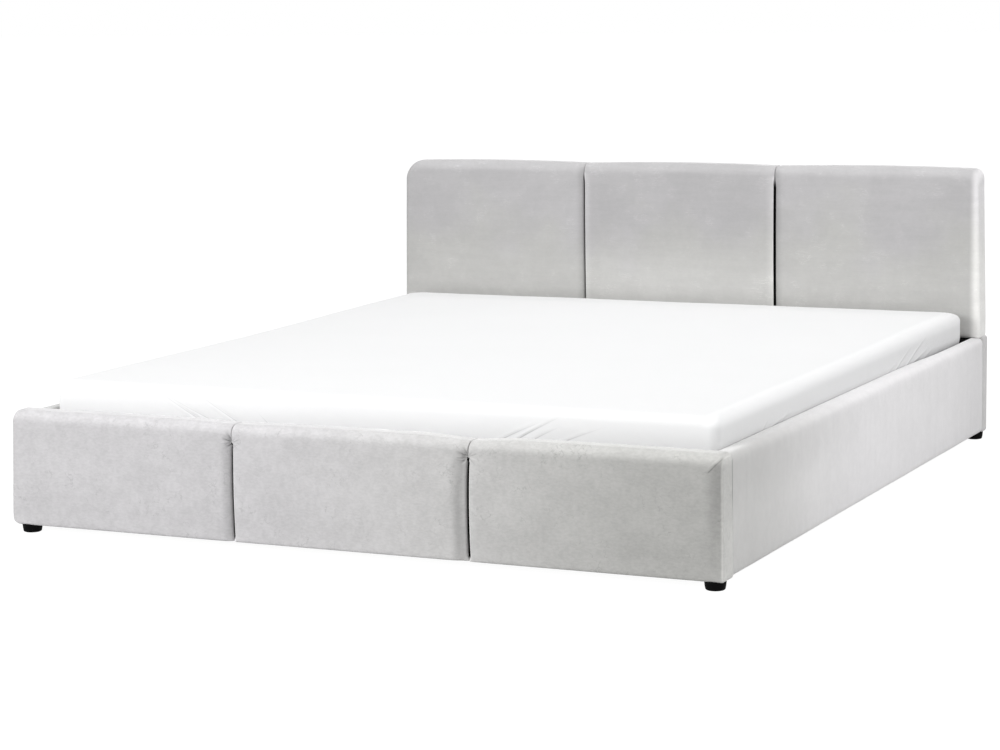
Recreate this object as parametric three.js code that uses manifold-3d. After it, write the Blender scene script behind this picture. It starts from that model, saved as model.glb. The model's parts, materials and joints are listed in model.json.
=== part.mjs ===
// Upholstered ottoman bed: a padded headboard and footboard, two padded side rails, a storage box on
// the floor between them, and a slatted frame that lifts the mattress from the foot end on two hinges
// and two gas struts. The foot end faces -Y, the headboard is at +Y, Z is up and the floor is z = 0.
// Left and right are as seen from the foot end. Every length is in millimetres.

import * as THREE from 'three'
import { mergeVertices } from 'three/addons/utils/BufferGeometryUtils.js'
import Module from 'manifold-3d'

const wasm = await Module()
wasm.setup()

// Driving dimensions: the mattress and the room round it
const mattressWidth = 1780
const mattressLength = 2016
const mattressThickness = 158
const sheetThickness = 1.4
const sheetClearance = 0.6
const mattressSideGap = 23
const mattressFootGap = 57
const mattressHeadGap = 33

// Driving dimensions: the upholstered outer box
const groundClearance = 22
const railHeight = 282
const railThickness = 40
const footboardHeight = 286
const footBoardThickness = 18
const footPadDepth = 50
const headboardTop = 804
const headboardInset = 15
const headBoardThickness = 12
const headPadDepth = 60
const headBaseThickness = 33
const headBaseHeight = 285
const headPadLift = 2

// Driving dimensions: the lifting frame and its hinge
const slatDrop = 83
const slatThickness = 12
const slatWidth = 80
const slatCount = 12
const slatEndInset = 4
const tubeHeight = 35
const tubeWidth = 30
const tubeWall = 1.5
const frameSideGap = 43
const frameEndInset = 12
const pivotInset = 170
const pivotDrop = 47

// Driving dimensions: the gas struts
const strutFootDrop = 160
const strutFootSetback = 30
const strutHeadReach = 380
const strutHeadDrop = 105
const strutRailGap = 27

// One running gap keeps moving or fitted faces apart, and one overrun carries a cut past a wall.
const fitGap = 0.3
const cutOverrun = 2

// How finely round shapes are faceted
const barSides = 24
const glideSides = 24
const bufferSides = 20
const cornerSides = 6
const boardCornerSides = 4
const slotSides = 8

// Places that follow from the driving dimensions
const sheetOffset = sheetThickness + sheetClearance
const madeWidth = mattressWidth + 2 * sheetOffset
const madeLength = mattressLength + 2 * sheetOffset
const bedWidth = madeWidth + 2 * (mattressSideGap + railThickness)
const footDepth = footPadDepth + footBoardThickness
const headDepth = headPadDepth + headBoardThickness
const headboardWidth = bedWidth - 2 * headboardInset
const bedLength = footDepth + mattressFootGap + madeLength + mattressHeadGap + headDepth
const railInner = bedWidth / 2 - railThickness
const railTop = groundClearance + railHeight
const footFace = -bedLength / 2
const footPadBack = footFace + footPadDepth
const footBoardBack = footFace + footDepth
const headBack = bedLength / 2
const headBoardFront = headBack - headBoardThickness
const headBaseFront = headBoardFront - headBaseThickness
const madeFootEnd = footBoardBack + mattressFootGap
const madeHeadEnd = madeFootEnd + madeLength
const mattressCenterY = (madeFootEnd + madeHeadEnd) / 2
const slatTop = railTop - slatDrop
const tubeTop = slatTop - slatThickness
const tubeBottom = tubeTop - tubeHeight
const frameOuter = railInner - frameSideGap
const frameFootEnd = madeFootEnd + frameEndInset
const frameHeadEnd = madeHeadEnd - frameEndInset
const pivot = { y: madeHeadEnd - pivotInset, z: railTop - pivotDrop }
const strutFoot = { y: pivot.y + strutFootSetback, z: pivot.z - strutFootDrop }
const strutHead = { y: pivot.y - strutHeadReach, z: pivot.z - strutHeadDrop }
const strutCenterX = railInner - strutRailGap

const quarterTurn = Math.PI / 2

// Materials
const surface = (color, roughness, metalness = 0) =>
  new THREE.MeshStandardMaterial({ color, roughness, metalness })
const velvet = surface('#c4c3c1', 0.85)
const lining = surface('#3c3c3e', 0.9)
const blackPlastic = surface('#161616', 0.5)
const zincSteel = surface('#a9adb2', 0.35, 1)
const paintedSteel = surface('#26272a', 0.45, 0.6)
const polishedRod = surface('#c9ccd0', 0.15, 1)
const pine = surface('#d9b98a', 0.6)
const floorBoard = surface('#d8d6d0', 0.7)
const rubberBlack = surface('#1d1d1e', 0.8)
const mattressTicking = surface('#eeeeec', 0.85)
const sheetCotton = surface('#f7f7f8', 0.9)

// Solids helpers
function welded(geometry) {
  geometry.deleteAttribute('normal')
  geometry.deleteAttribute('uv')
  return mergeVertices(geometry)
}

function solidOf(geometry) {
  const mesh = welded(geometry.clone())
  const vertProperties = new Float32Array(mesh.attributes.position.array)
  const triVerts = new Uint32Array(mesh.index.array)
  return new wasm.Manifold(new wasm.Mesh({ numProp: 3, vertProperties, triVerts }))
}

function geometryOf(solid) {
  const mesh = solid.getMesh()
  const geometry = new THREE.BufferGeometry()
  geometry.setAttribute('position', new THREE.BufferAttribute(mesh.vertProperties, 3))
  geometry.setIndex(new THREE.BufferAttribute(mesh.triVerts, 1))
  return geometry
}

function join(first, ...others) {
  return others.reduce((solid, other) => solid.add(other), first)
}

function cut(first, ...others) {
  return others.reduce((solid, other) => solid.subtract(other), first)
}

function flipped(geometry) {
  const index = geometry.index.array
  for (let corner = 0; corner < index.length; corner += 3) {
    const swap = index[corner + 1]
    index[corner + 1] = index[corner + 2]
    index[corner + 2] = swap
  }
  return geometry
}

function mirrored(geometry) {
  return flipped(welded(geometry.clone()).scale(-1, 1, 1))
}

function boxBetween(low, high) {
  const size = high.map((value, axis) => value - low[axis])
  const center = high.map((value, axis) => (value + low[axis]) / 2)
  return new THREE.BoxGeometry(...size).translate(...center)
}

// An outline in Y and Z is pushed along X, or one in X and Z is pushed back along Y.
function extrudeAlongX(shape, fromX, toX, curveSegments = cornerSides) {
  const settings = { depth: toX - fromX, bevelEnabled: false, curveSegments }
  const geometry = new THREE.ExtrudeGeometry(shape, settings)
  const turn = new THREE.Matrix4().makeBasis(
    new THREE.Vector3(0, 1, 0), new THREE.Vector3(0, 0, 1), new THREE.Vector3(1, 0, 0))
  return geometry.applyMatrix4(turn).translate(fromX, 0, 0)
}

function extrudeAlongY(shape, fromY, toY, curveSegments = boardCornerSides) {
  const settings = { depth: toY - fromY, bevelEnabled: false, curveSegments }
  const geometry = new THREE.ExtrudeGeometry(shape, settings)
  return geometry.rotateX(quarterTurn).translate(0, toY, 0)
}

function polygon(points) {
  return new THREE.Shape(points.map(([x, y]) => new THREE.Vector2(x, y)))
}

// A rectangle from low to high whose corners are rounded: bottom left, bottom right, top right, top left.
function roundedRectangle(low, high, radii) {
  const [bottomLeft, bottomRight, topRight, topLeft] = radii
  const shape = new THREE.Shape()
  shape.moveTo(low[0] + bottomLeft, low[1])
  shape.lineTo(high[0] - bottomRight, low[1])
  shape.absarc(high[0] - bottomRight, low[1] + bottomRight, bottomRight, -quarterTurn, 0)
  shape.lineTo(high[0], high[1] - topRight)
  shape.absarc(high[0] - topRight, high[1] - topRight, topRight, 0, quarterTurn)
  shape.lineTo(low[0] + topLeft, high[1])
  shape.absarc(low[0] + topLeft, high[1] - topLeft, topLeft, quarterTurn, 2 * quarterTurn)
  shape.lineTo(low[0], low[1] + bottomLeft)
  shape.absarc(low[0] + bottomLeft, low[1] + bottomLeft, bottomLeft, 2 * quarterTurn, 3 * quarterTurn)
  return shape
}

// A round bar along X at a place in Y and Z
function barAlongX(radius, fromX, toX, place) {
  return new THREE.CylinderGeometry(radius, radius, toX - fromX, barSides)
    .rotateZ(quarterTurn)
    .translate((fromX + toX) / 2, place.y, place.z)
}

// Soft forms
// A ring of points round a rounded rectangle, always with the same number of points, so that rings of
// different size can be lofted together.
const cornerSteps = 3
const tightestCornerShare = 0.2
function softRing(halfWidth, halfHeight, radii, inset, sideSteps) {
  const corners = [[-1, -1, 2], [1, -1, 3], [1, 1, 0], [-1, 1, 1]]
  const points = []
  corners.forEach(([signX, signY, quarter], corner) => {
    const radius = Math.max(radii[corner] - inset, radii[corner] * tightestCornerShare)
    const centerX = signX * (halfWidth - inset - radius)
    const centerY = signY * (halfHeight - inset - radius)
    for (let step = 0; step <= cornerSteps; step += 1) {
      const angle = (quarter + step / cornerSteps) * quarterTurn
      points.push([centerX + radius * Math.cos(angle), centerY + radius * Math.sin(angle)])
    }
  })
  const ring = []
  const perCorner = cornerSteps + 1
  points.forEach((point, place) => {
    ring.push(point)
    if (place % perCorner !== perCorner - 1) return
    const next = points[(place + 1) % points.length]
    const steps = sideSteps[Math.floor(place / perCorner) % 2]
    for (let step = 1; step < steps; step += 1) {
      const along = step / steps
      ring.push([point[0] + (next[0] - point[0]) * along, point[1] + (next[1] - point[1]) * along])
    }
  })
  return ring
}

// A cushion: its sides draw in between the corners, its top edge rises between them, its front rolls
// over at the rim and swells to a crown. The profile gives the inset and level of each rim ring.
const innerRingShares = [0.8, 0.5]
const crownPower = 4
const padSideSteps = [6, 4]
function cushionRings({ width, height, depth, crown, draw, rise, radii, profile, sideSteps }) {
  const halfWidth = width / 2
  const halfHeight = height / 2
  const shaped = ([x, y]) => {
    const acrossShare = x / halfWidth
    const upShare = y / halfHeight
    const drawn = x - draw * acrossShare * (1 - upShare ** 2)
    const raised = y - rise * acrossShare ** 2 * Math.max(0, upShare)
    return [drawn, raised]
  }
  const front = ([x, y]) => {
    const flatness = (1 - (x / halfWidth) ** crownPower) * (1 - (y / halfHeight) ** crownPower)
    return depth - crown * (1 - flatness)
  }
  const rim = profile.map(([inset, level]) =>
    softRing(halfWidth, halfHeight, radii, inset, sideSteps)
      .map((point) => [...shaped(point), level]))
  const lastInset = profile[profile.length - 1][0]
  const face = softRing(halfWidth, halfHeight, radii, lastInset, sideSteps)
  const inner = innerRingShares.map((share) => face.map(([x, y]) => {
    const point = [x * share, y * share]
    return [...shaped(point), front(point)]
  }))
  return { rings: [...rim, ...inner], frontCenter: [0, 0, depth] }
}

// Rings of equal count, closed by a fan at each end
function loft(rings, startCenter, endCenter) {
  const count = rings[0].length
  const positions = [...rings.flat(), startCenter, endCenter].flat()
  const startPoint = rings.length * count
  const endPoint = startPoint + 1
  const index = []
  for (let place = 0; place < count; place += 1) {
    const next = (place + 1) % count
    index.push(startPoint, next, place)
    rings.slice(1).forEach((_, row) => {
      const low = row * count
      const high = low + count
      index.push(low + place, low + next, high + next)
      index.push(low + place, high + next, high + place)
    })
    const last = (rings.length - 1) * count
    index.push(endPoint, last + place, last + next)
  }
  const geometry = new THREE.BufferGeometry()
  geometry.setAttribute('position', new THREE.Float32BufferAttribute(positions, 3))
  geometry.setIndex(index)
  return geometry
}

// The roll of a cushion's rim: from the wall round a quarter circle to the face
const rollShares = [0, 0.5, 1]
function rolledRim(roll, faceLevel) {
  return rollShares.map((share) => {
    const angle = share * quarterTurn
    return [roll * (1 - Math.cos(angle)), faceLevel - roll * (1 - Math.sin(angle))]
  })
}

// One upholstered pad that faces the foot end, with its back on a board
const padBackInset = 2
const padBellyShare = 0.4
function upholsteredPad({ centerX, bottom, back, width, height, depth, roll, crown, draw, rise, radii }) {
  const rimLevel = depth - crown
  const profile = [[padBackInset, 0], [0, rimLevel * padBellyShare], ...rolledRim(roll, rimLevel)]
  const { rings, frontCenter } = cushionRings(
    { width, height, depth, crown, draw, rise, radii, profile, sideSteps: padSideSteps })
  return loft(rings, [0, 0, 0], frontCenter)
    .rotateX(quarterTurn)
    .translate(centerX, back, bottom + height / 2)
}

// Assembly groups
const bed = new THREE.Group()
const bedBase = new THREE.Group()
const liftFrame = new THREE.Group()
const gasStruts = new THREE.Group()
bed.add(bedBase, liftFrame, gasStruts)

function piece(group, name, geometry, material) {
  const mesh = new THREE.Mesh(geometry.index ? welded(geometry) : welded(mergeVertices(geometry)), material)
  mesh.name = name
  group.add(mesh)
}

// A right-hand piece and its mirror image on the left
function pair(group, name, geometry, material) {
  piece(group, `${name}_left`, mirrored(geometry), material)
  piece(group, `${name}_right`, geometry, material)
}

// Three pads side by side, with the panel's own round corners on the outer two
const seamGap = 1.5
const innerPadRadius = 10
const padPlaces = [['left', -1], ['center', 0], ['right', 1]]
function padRow(name, { panelWidth, outerRadii, ...rest }) {
  const width = (panelWidth - 2 * seamGap) / padPlaces.length
  const [outerBottom, outerTop] = outerRadii
  padPlaces.forEach(([side, place]) => {
    const left = place < 0
    const right = place > 0
    const radii = [
      left ? outerBottom : innerPadRadius,
      right ? outerBottom : innerPadRadius,
      right ? outerTop : innerPadRadius,
      left ? outerTop : innerPadRadius,
    ]
    const centerX = place * (width + seamGap)
    piece(bedBase, `${name}_${side}`, upholsteredPad({ ...rest, centerX, width, radii }), velvet)
  })
}

// Headboard: three pads on a back board, and a low panel that closes the box between the rails
const headPadBottom = groundClearance + headBaseHeight + headPadLift
const headPadHeight = headboardTop - headPadBottom
const headTopRadius = 45
const headBottomRadius = 12
const headBaseRadius = 25
const headPadRoll = 30
const headPadCrown = 9
const headPadDraw = 3
const headPadRise = 9
const boardInset = 4
const boardTopDrop = 8
function makeHeadboard() {
  padRow('headboard_pad', {
    panelWidth: headboardWidth,
    outerRadii: [headBottomRadius, headTopRadius],
    bottom: headPadBottom,
    back: headBoardFront,
    height: headPadHeight,
    depth: headPadDepth,
    roll: headPadRoll,
    crown: headPadCrown,
    draw: headPadDraw,
    rise: headPadRise,
  })
  const halfBoard = headboardWidth / 2 - boardInset
  const halfBase = bedWidth / 2
  const shoulder = groundClearance + headBaseHeight
  const boardTop = headboardTop - boardTopDrop
  const board = new THREE.Shape()
  board.moveTo(-halfBase + headBaseRadius, groundClearance)
  board.lineTo(halfBase - headBaseRadius, groundClearance)
  board.absarc(halfBase - headBaseRadius, groundClearance + headBaseRadius, headBaseRadius, -quarterTurn, 0)
  board.lineTo(halfBase, shoulder)
  board.lineTo(halfBoard, shoulder)
  board.lineTo(halfBoard, boardTop - headTopRadius)
  board.absarc(halfBoard - headTopRadius, boardTop - headTopRadius, headTopRadius, 0, quarterTurn)
  board.lineTo(-halfBoard + headTopRadius, boardTop)
  board.absarc(-halfBoard + headTopRadius, boardTop - headTopRadius, headTopRadius,
    quarterTurn, 2 * quarterTurn)
  board.lineTo(-halfBoard, shoulder)
  board.lineTo(-halfBase, shoulder)
  board.lineTo(-halfBase, groundClearance + headBaseRadius)
  board.absarc(-halfBase + headBaseRadius, groundClearance + headBaseRadius, headBaseRadius,
    2 * quarterTurn, 3 * quarterTurn)
  piece(bedBase, 'headboard_board', extrudeAlongY(board, headBoardFront, headBack), lining)

  const panel = roundedRectangle([-halfBase, groundClearance], [halfBase, shoulder],
    [headBaseRadius, headBaseRadius, edgeRound, edgeRound])
  piece(bedBase, 'headboard_base_panel', extrudeAlongY(panel, headBaseFront, headBoardFront), velvet)
}

// Footboard: three pads on a stiff board, as tall as the rails with a little to spare
const edgeRound = 8
const footboardRadius = 24
const footPadRoll = 16
const footPadCrown = 6
const footPadDraw = 3
const footPadRise = 4
function makeFootboard() {
  padRow('footboard_pad', {
    panelWidth: bedWidth,
    outerRadii: [footboardRadius, footboardRadius],
    bottom: groundClearance,
    back: footPadBack,
    height: footboardHeight,
    depth: footPadDepth,
    roll: footPadRoll,
    crown: footPadCrown,
    draw: footPadDraw,
    rise: footPadRise,
  })
  const radii = [footboardRadius, footboardRadius, footboardRadius, footboardRadius]
  const board = roundedRectangle([-bedWidth / 2, groundClearance],
    [bedWidth / 2, groundClearance + footboardHeight - boardInset], radii)
  piece(bedBase, 'footboard_board', extrudeAlongY(board, footPadBack, footBoardBack), velvet)
}

// Side rails run between the footboard's board and the headboard's low panel.
const railRound = 14
function makeRails() {
  const section = roundedRectangle([railInner, groundClearance], [bedWidth / 2, railTop],
    [edgeRound, edgeRound, railRound, edgeRound])
  pair(bedBase, 'side_rail', extrudeAlongY(section, footBoardBack, headBaseFront), velvet)
}

// Round glides under the four corners, and one under the middle of the floor rail
const glideRadius = 27
const glideTaper = 2
const glideInsetX = 37
const glideInsetY = 34
function glide(height) {
  const profile = [
    [0, 0], [glideRadius - glideTaper, 0], [glideRadius, glideTaper], [glideRadius, height], [0, height],
  ]
  const points = profile.map(([x, y]) => new THREE.Vector2(x, y))
  return new THREE.LatheGeometry(points, glideSides).rotateX(quarterTurn)
}
function makeGlides() {
  const centerX = bedWidth / 2 - glideInsetX
  const ends = [['front', footFace + glideInsetY], ['rear', headBack - glideInsetY]]
  ends.forEach(([end, y]) => {
    pair(bedBase, `foot_${end}`, glide(groundClearance).translate(centerX, y, 0), blackPlastic)
  })
  piece(bedBase, 'center_foot', glide(floorRailBottom), blackPlastic)
}

// Storage floor: two panels on side ledges and on a middle rail
const ledgeWidth = 20
const ledgeHeight = 20
const ledgeLift = 4
const floorRailWidth = 60
const floorThickness = 5
const floorJoint = 1
const floorEndGap = 2
const floorRailBottom = groundClearance + ledgeLift
const floorRailTop = floorRailBottom + ledgeHeight
const floorTop = floorRailTop + floorThickness
function makeStorageFloor() {
  const ledge = boxBetween([railInner - ledgeWidth, footBoardBack, floorRailBottom],
    [railInner, headBaseFront, floorRailTop])
  pair(bedBase, 'floor_ledge', ledge, pine)
  const middle = boxBetween([-floorRailWidth / 2, footBoardBack, floorRailBottom],
    [floorRailWidth / 2, headBaseFront, floorRailTop])
  piece(bedBase, 'center_floor_rail', middle, pine)
  const panel = boxBetween([floorJoint / 2, footBoardBack + floorEndGap, floorRailTop],
    [railInner - floorEndGap, headBaseFront - floorEndGap, floorTop])
  pair(bedBase, 'storage_floor', panel, floorBoard)
}

// Steel angles that hold the four corners of the box together
const angleLeg = 50
const angleThickness = 4
const angleHeight = 120
const angleLift = 21
function makeCornerBrackets() {
  const bottom = floorTop + angleLift
  const corners = [['front', footBoardBack, 1], ['rear', headBaseFront, -1]]
  corners.forEach(([end, wall, inward]) => {
    const outline = polygon([
      [railInner, wall],
      [railInner, wall + inward * angleLeg],
      [railInner - angleThickness, wall + inward * angleLeg],
      [railInner - angleThickness, wall + inward * angleThickness],
      [railInner - angleLeg, wall + inward * angleThickness],
      [railInner - angleLeg, wall],
    ])
    const angle = new THREE.ExtrudeGeometry(outline, { depth: angleHeight, bevelEnabled: false })
    pair(bedBase, `corner_bracket_${end}`, angle.translate(0, 0, bottom), zincSteel)
  })
}

// The frame's foot end comes down on a rubber buffer on a bracket at each rail.
const restSetback = 62
const restWidth = 50
const restThickness = 4
const restLegHeight = 45
const bufferHeight = 12
const bufferRadius = 14
const restTop = tubeBottom - fitGap - bufferHeight
function makeRests() {
  const y = frameFootEnd + restSetback
  const tubeCenter = frameOuter - tubeWidth / 2
  const outline = polygon([
    [railInner, restTop - restLegHeight],
    [railInner, restTop],
    [tubeCenter - tubeWidth / 2, restTop],
    [tubeCenter - tubeWidth / 2, restTop - restThickness],
    [railInner - restThickness, restTop - restThickness],
    [railInner - restThickness, restTop - restLegHeight],
  ])
  const bracket = extrudeAlongY(outline, y - restWidth / 2, y + restWidth / 2)
  pair(bedBase, 'rest_bracket', bracket, zincSteel)
  const buffer = new THREE.CylinderGeometry(bufferRadius, bufferRadius, bufferHeight, bufferSides)
    .rotateX(quarterTurn)
    .translate(tubeCenter, y, restTop + bufferHeight / 2)
  pair(bedBase, 'rest_buffer', buffer, rubberBlack)
}

// Hinge: a plate on the rail carries the pin that the frame's arm turns on, and below it the stud of
// the gas strut.
const hingePlateThickness = 5
const hingePlateMargin = 25
const hingePlateWidth = 84
const hingePlateRound = 12
const hingeBossRadius = 9
const pinRadius = 5
const pinHeadRadius = 8
const pinHeadThickness = 1.5
const armThickness = 4
const armPlateGap = 7.5
const armGap = 0.5
const armHoleClearance = 0.6
const plateFace = railInner - hingePlateThickness
const armOuter = plateFace - armPlateGap
const armInner = armOuter - armThickness
const strutEyeWidth = 12
const strutStudRadius = 5
const studHeadRadius = 8
const studHeadThickness = 2
const eyeInner = strutCenterX - strutEyeWidth / 2
const eyeOuter = strutCenterX + strutEyeWidth / 2
function makeHinges() {
  const middle = (pivot.y + strutFoot.y) / 2
  const outline = roundedRectangle(
    [middle - hingePlateWidth / 2, strutFoot.z - hingePlateMargin],
    [middle + hingePlateWidth / 2, pivot.z + hingePlateMargin],
    [hingePlateRound, hingePlateRound, hingePlateRound, hingePlateRound])
  const plate = solidOf(extrudeAlongX(outline, plateFace, railInner))
  const boss = solidOf(barAlongX(hingeBossRadius, armOuter + armGap, plateFace, pivot))
  const pinHole = solidOf(barAlongX(
    pinRadius + fitGap, armOuter - cutOverrun, railInner + cutOverrun, pivot))
  const studHeadOuter = eyeInner - armGap
  const spacer = solidOf(barAlongX(studHeadRadius, eyeOuter + armGap, plateFace, strutFoot))
  const stud = solidOf(barAlongX(strutStudRadius, studHeadOuter, eyeOuter + armGap, strutFoot))
  const studHead = solidOf(barAlongX(
    studHeadRadius, studHeadOuter - studHeadThickness, studHeadOuter, strutFoot))
  const hingePlate = cut(join(plate, boss, spacer, stud, studHead), pinHole)
  pair(bedBase, 'hinge_plate', geometryOf(hingePlate), zincSteel)

  const headInner = armInner - armGap - pinHeadThickness
  const shank = solidOf(barAlongX(pinRadius, headInner, railInner - fitGap, pivot))
  const head = solidOf(barAlongX(pinHeadRadius, headInner, headInner + pinHeadThickness, pivot))
  pair(bedBase, 'hinge_pin', geometryOf(join(shank, head)), paintedSteel)
}

// Lifting frame: a welded rectangle of steel tube with one tube down its middle
function tubeSection(low, high) {
  const outline = polygon([low, [high[0], low[1]], high, [low[0], high[1]]])
  const inner = [[low[0] + tubeWall, low[1] + tubeWall], [high[0] - tubeWall, high[1] - tubeWall]]
  outline.holes.push(polygon([
    inner[0], [inner[0][0], inner[1][1]], inner[1], [inner[1][0], inner[0][1]],
  ]))
  return outline
}

const earThickness = 4
const earWidth = 40
const earMargin = 16
const earLapShare = 0.8
const slotClearance = 0.6
const slotTravel = 5.4
const slotTiltDegrees = -53
const headStudRadius = 4

// The ear's slot lets the strut's stud shift a little along its length as the frame lifts.
function earSlot() {
  const tilt = THREE.MathUtils.degToRad(slotTiltDegrees)
  const reach = headStudRadius + slotClearance
  const shape = new THREE.Shape()
  const quarters = [tilt - quarterTurn, tilt + quarterTurn]
  const end = { y: strutHead.y + slotTravel * Math.cos(tilt), z: strutHead.z + slotTravel * Math.sin(tilt) }
  shape.absarc(end.y, end.z, reach, quarters[0], quarters[1])
  shape.absarc(strutHead.y, strutHead.z, reach, quarters[1], quarters[1] + Math.PI)
  return solidOf(extrudeAlongX(shape, frameOuter - cutOverrun, frameOuter + earThickness + cutOverrun,
    slotSides))
}

function makeFrameTubes() {
  const inner = frameOuter - tubeWidth
  const side = extrudeAlongY(tubeSection([inner, tubeBottom], [frameOuter, tubeTop]),
    frameFootEnd, frameHeadEnd)
  const ear = solidOf(boxBetween(
    [frameOuter, strutHead.y - earWidth / 2, strutHead.z - earMargin],
    [frameOuter + earThickness, strutHead.y + earWidth / 2, tubeBottom + tubeHeight * earLapShare]))
  const slottedEar = cut(ear, earSlot())
  pair(liftFrame, 'frame_side_tube', geometryOf(join(solidOf(side), slottedEar)), paintedSteel)

  const cross = (fromY) => extrudeAlongX(
    tubeSection([fromY, tubeBottom], [fromY + tubeWidth, tubeTop]), -inner, inner)
  piece(liftFrame, 'frame_foot_tube', cross(frameFootEnd), paintedSteel)
  piece(liftFrame, 'frame_head_tube', cross(frameHeadEnd - tubeWidth), paintedSteel)
  const middle = tubeSection([-tubeWidth / 2, tubeBottom], [tubeWidth / 2, tubeTop])
  piece(liftFrame, 'frame_center_tube',
    extrudeAlongY(middle, frameFootEnd + tubeWidth, frameHeadEnd - tubeWidth), paintedSteel)
}

// Lift arm: a stepped plate that rises beside the mattress from the side tube to the hinge pin
const armLength = 66
const armFlangeShare = 0.75
const armStepDrop = 6
const armTopMargin = 18
function makeLiftArms() {
  const flangeBottom = tubeTop - tubeHeight * armFlangeShare
  const stepTop = slatTop - armStepDrop
  const stepBottom = stepTop - armThickness
  const armTop = pivot.z + armTopMargin
  const outline = polygon([
    [frameOuter, flangeBottom],
    [frameOuter + armThickness, flangeBottom],
    [frameOuter + armThickness, stepBottom],
    [armOuter, stepBottom],
    [armOuter, armTop],
    [armInner, armTop],
    [armInner, stepTop],
    [frameOuter, stepTop],
  ])
  const arm = solidOf(extrudeAlongY(outline, pivot.y - armLength / 2, pivot.y + armLength / 2))
  const pinHole = solidOf(barAlongX(
    pinRadius + armHoleClearance, armInner - cutOverrun, armOuter + cutOverrun, pivot))
  pair(liftFrame, 'lift_arm', geometryOf(cut(arm, pinHole)), paintedSteel)
}

// Slats lie across the tubes from the foot end to the head end.
function makeSlats() {
  const halfLength = frameOuter - slatEndInset
  const first = frameFootEnd
  const pitch = (frameHeadEnd - frameFootEnd - slatWidth) / (slatCount - 1)
  for (let place = 0; place < slatCount; place += 1) {
    const from = first + place * pitch
    const slat = boxBetween([-halfLength, from, tubeTop], [halfLength, from + slatWidth, slatTop])
    piece(liftFrame, `slat_${String(place + 1).padStart(2, '0')}`, slat, pine)
  }
}

// Mattress and the fitted sheet that is stretched over it
const mattressCorner = 25
const mattressRoll = 42
const mattressFoldUnder = 10
const mattressCrown = 5
const mattressDraw = 4
const sheetHemLift = 6
const mattressSideSteps = [8, 8]
function mattressRings(offset, hemLevel) {
  const depth = mattressThickness + offset
  const rimLevel = depth - mattressCrown
  const bottom = hemLevel === undefined
    ? [[mattressFoldUnder, 0], [0, mattressFoldUnder]]
    : [[0, hemLevel]]
  return cushionRings({
    width: mattressWidth + 2 * offset,
    height: mattressLength + 2 * offset,
    depth,
    crown: mattressCrown,
    draw: mattressDraw,
    rise: 0,
    radii: [0, 0, 0, 0].map(() => mattressCorner + offset),
    profile: [...bottom, ...rolledRim(mattressRoll + offset, rimLevel)],
    sideSteps: mattressSideSteps,
  })
}
function makeBedding() {
  const { rings, frontCenter } = mattressRings(0)
  const mattress = loft(rings, [0, 0, 0], frontCenter).translate(0, mattressCenterY, slatTop)
  piece(liftFrame, 'mattress', mattress, mattressTicking)

  const hemLevel = mattressFoldUnder + sheetHemLift
  const outer = mattressRings(sheetOffset, hemLevel)
  const inner = mattressRings(sheetClearance, hemLevel)
  const shell = [...inner.rings.toReversed(), ...outer.rings]
  const sheet = loft(shell, inner.frontCenter, outer.frontCenter).translate(0, mattressCenterY, slatTop)
  piece(liftFrame, 'fitted_sheet', sheet, sheetCotton)
}

// A steel lip at the foot end keeps the mattress on the frame when it is lifted.
const stopWidth = 320
const stopThickness = 3
const stopRise = 56
const stopFlange = 28
const stopGap = 1
function makeMattressStop() {
  const lipBack = madeFootEnd - stopGap
  const lipFront = lipBack - stopThickness
  const bottom = tubeBottom + tubeWall
  const outline = polygon([
    [lipFront, bottom],
    [frameFootEnd, bottom],
    [frameFootEnd, bottom + stopFlange],
    [frameFootEnd - stopThickness, bottom + stopFlange],
    [frameFootEnd - stopThickness, bottom + stopThickness],
    [lipBack, bottom + stopThickness],
    [lipBack, slatTop + stopRise],
    [lipFront, slatTop + stopRise],
  ])
  piece(liftFrame, 'mattress_stop', extrudeAlongX(outline, -stopWidth / 2, stopWidth / 2), paintedSteel)
}

// Gas struts: a cylinder that turns on the hinge plate's stud, and a rod that slides in it and ends in
// an eye with a stud through the frame's ear
const cylinderRadius = 11
const rodRadius = 5
const eyeRadius = 12
const rodEyeRadius = 10
const cylinderEndShare = 0.7
const boreStartShare = 0.34
const rodStartShare = 0.37
const cylinderChamfer = 3
const boreGap = 0.4
const strutEyeBite = 4
function strutSpan() {
  const reachY = strutHead.y - strutFoot.y
  const reachZ = strutHead.z - strutFoot.z
  return { length: Math.hypot(reachY, reachZ), turn: Math.atan2(-reachY, reachZ) }
}

function turned(profile, turn) {
  const points = profile.map(([x, y]) => new THREE.Vector2(x, y))
  return new THREE.LatheGeometry(points, barSides)
    .rotateX(quarterTurn + turn)
    .translate(strutCenterX, strutFoot.y, strutFoot.z)
}

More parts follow.
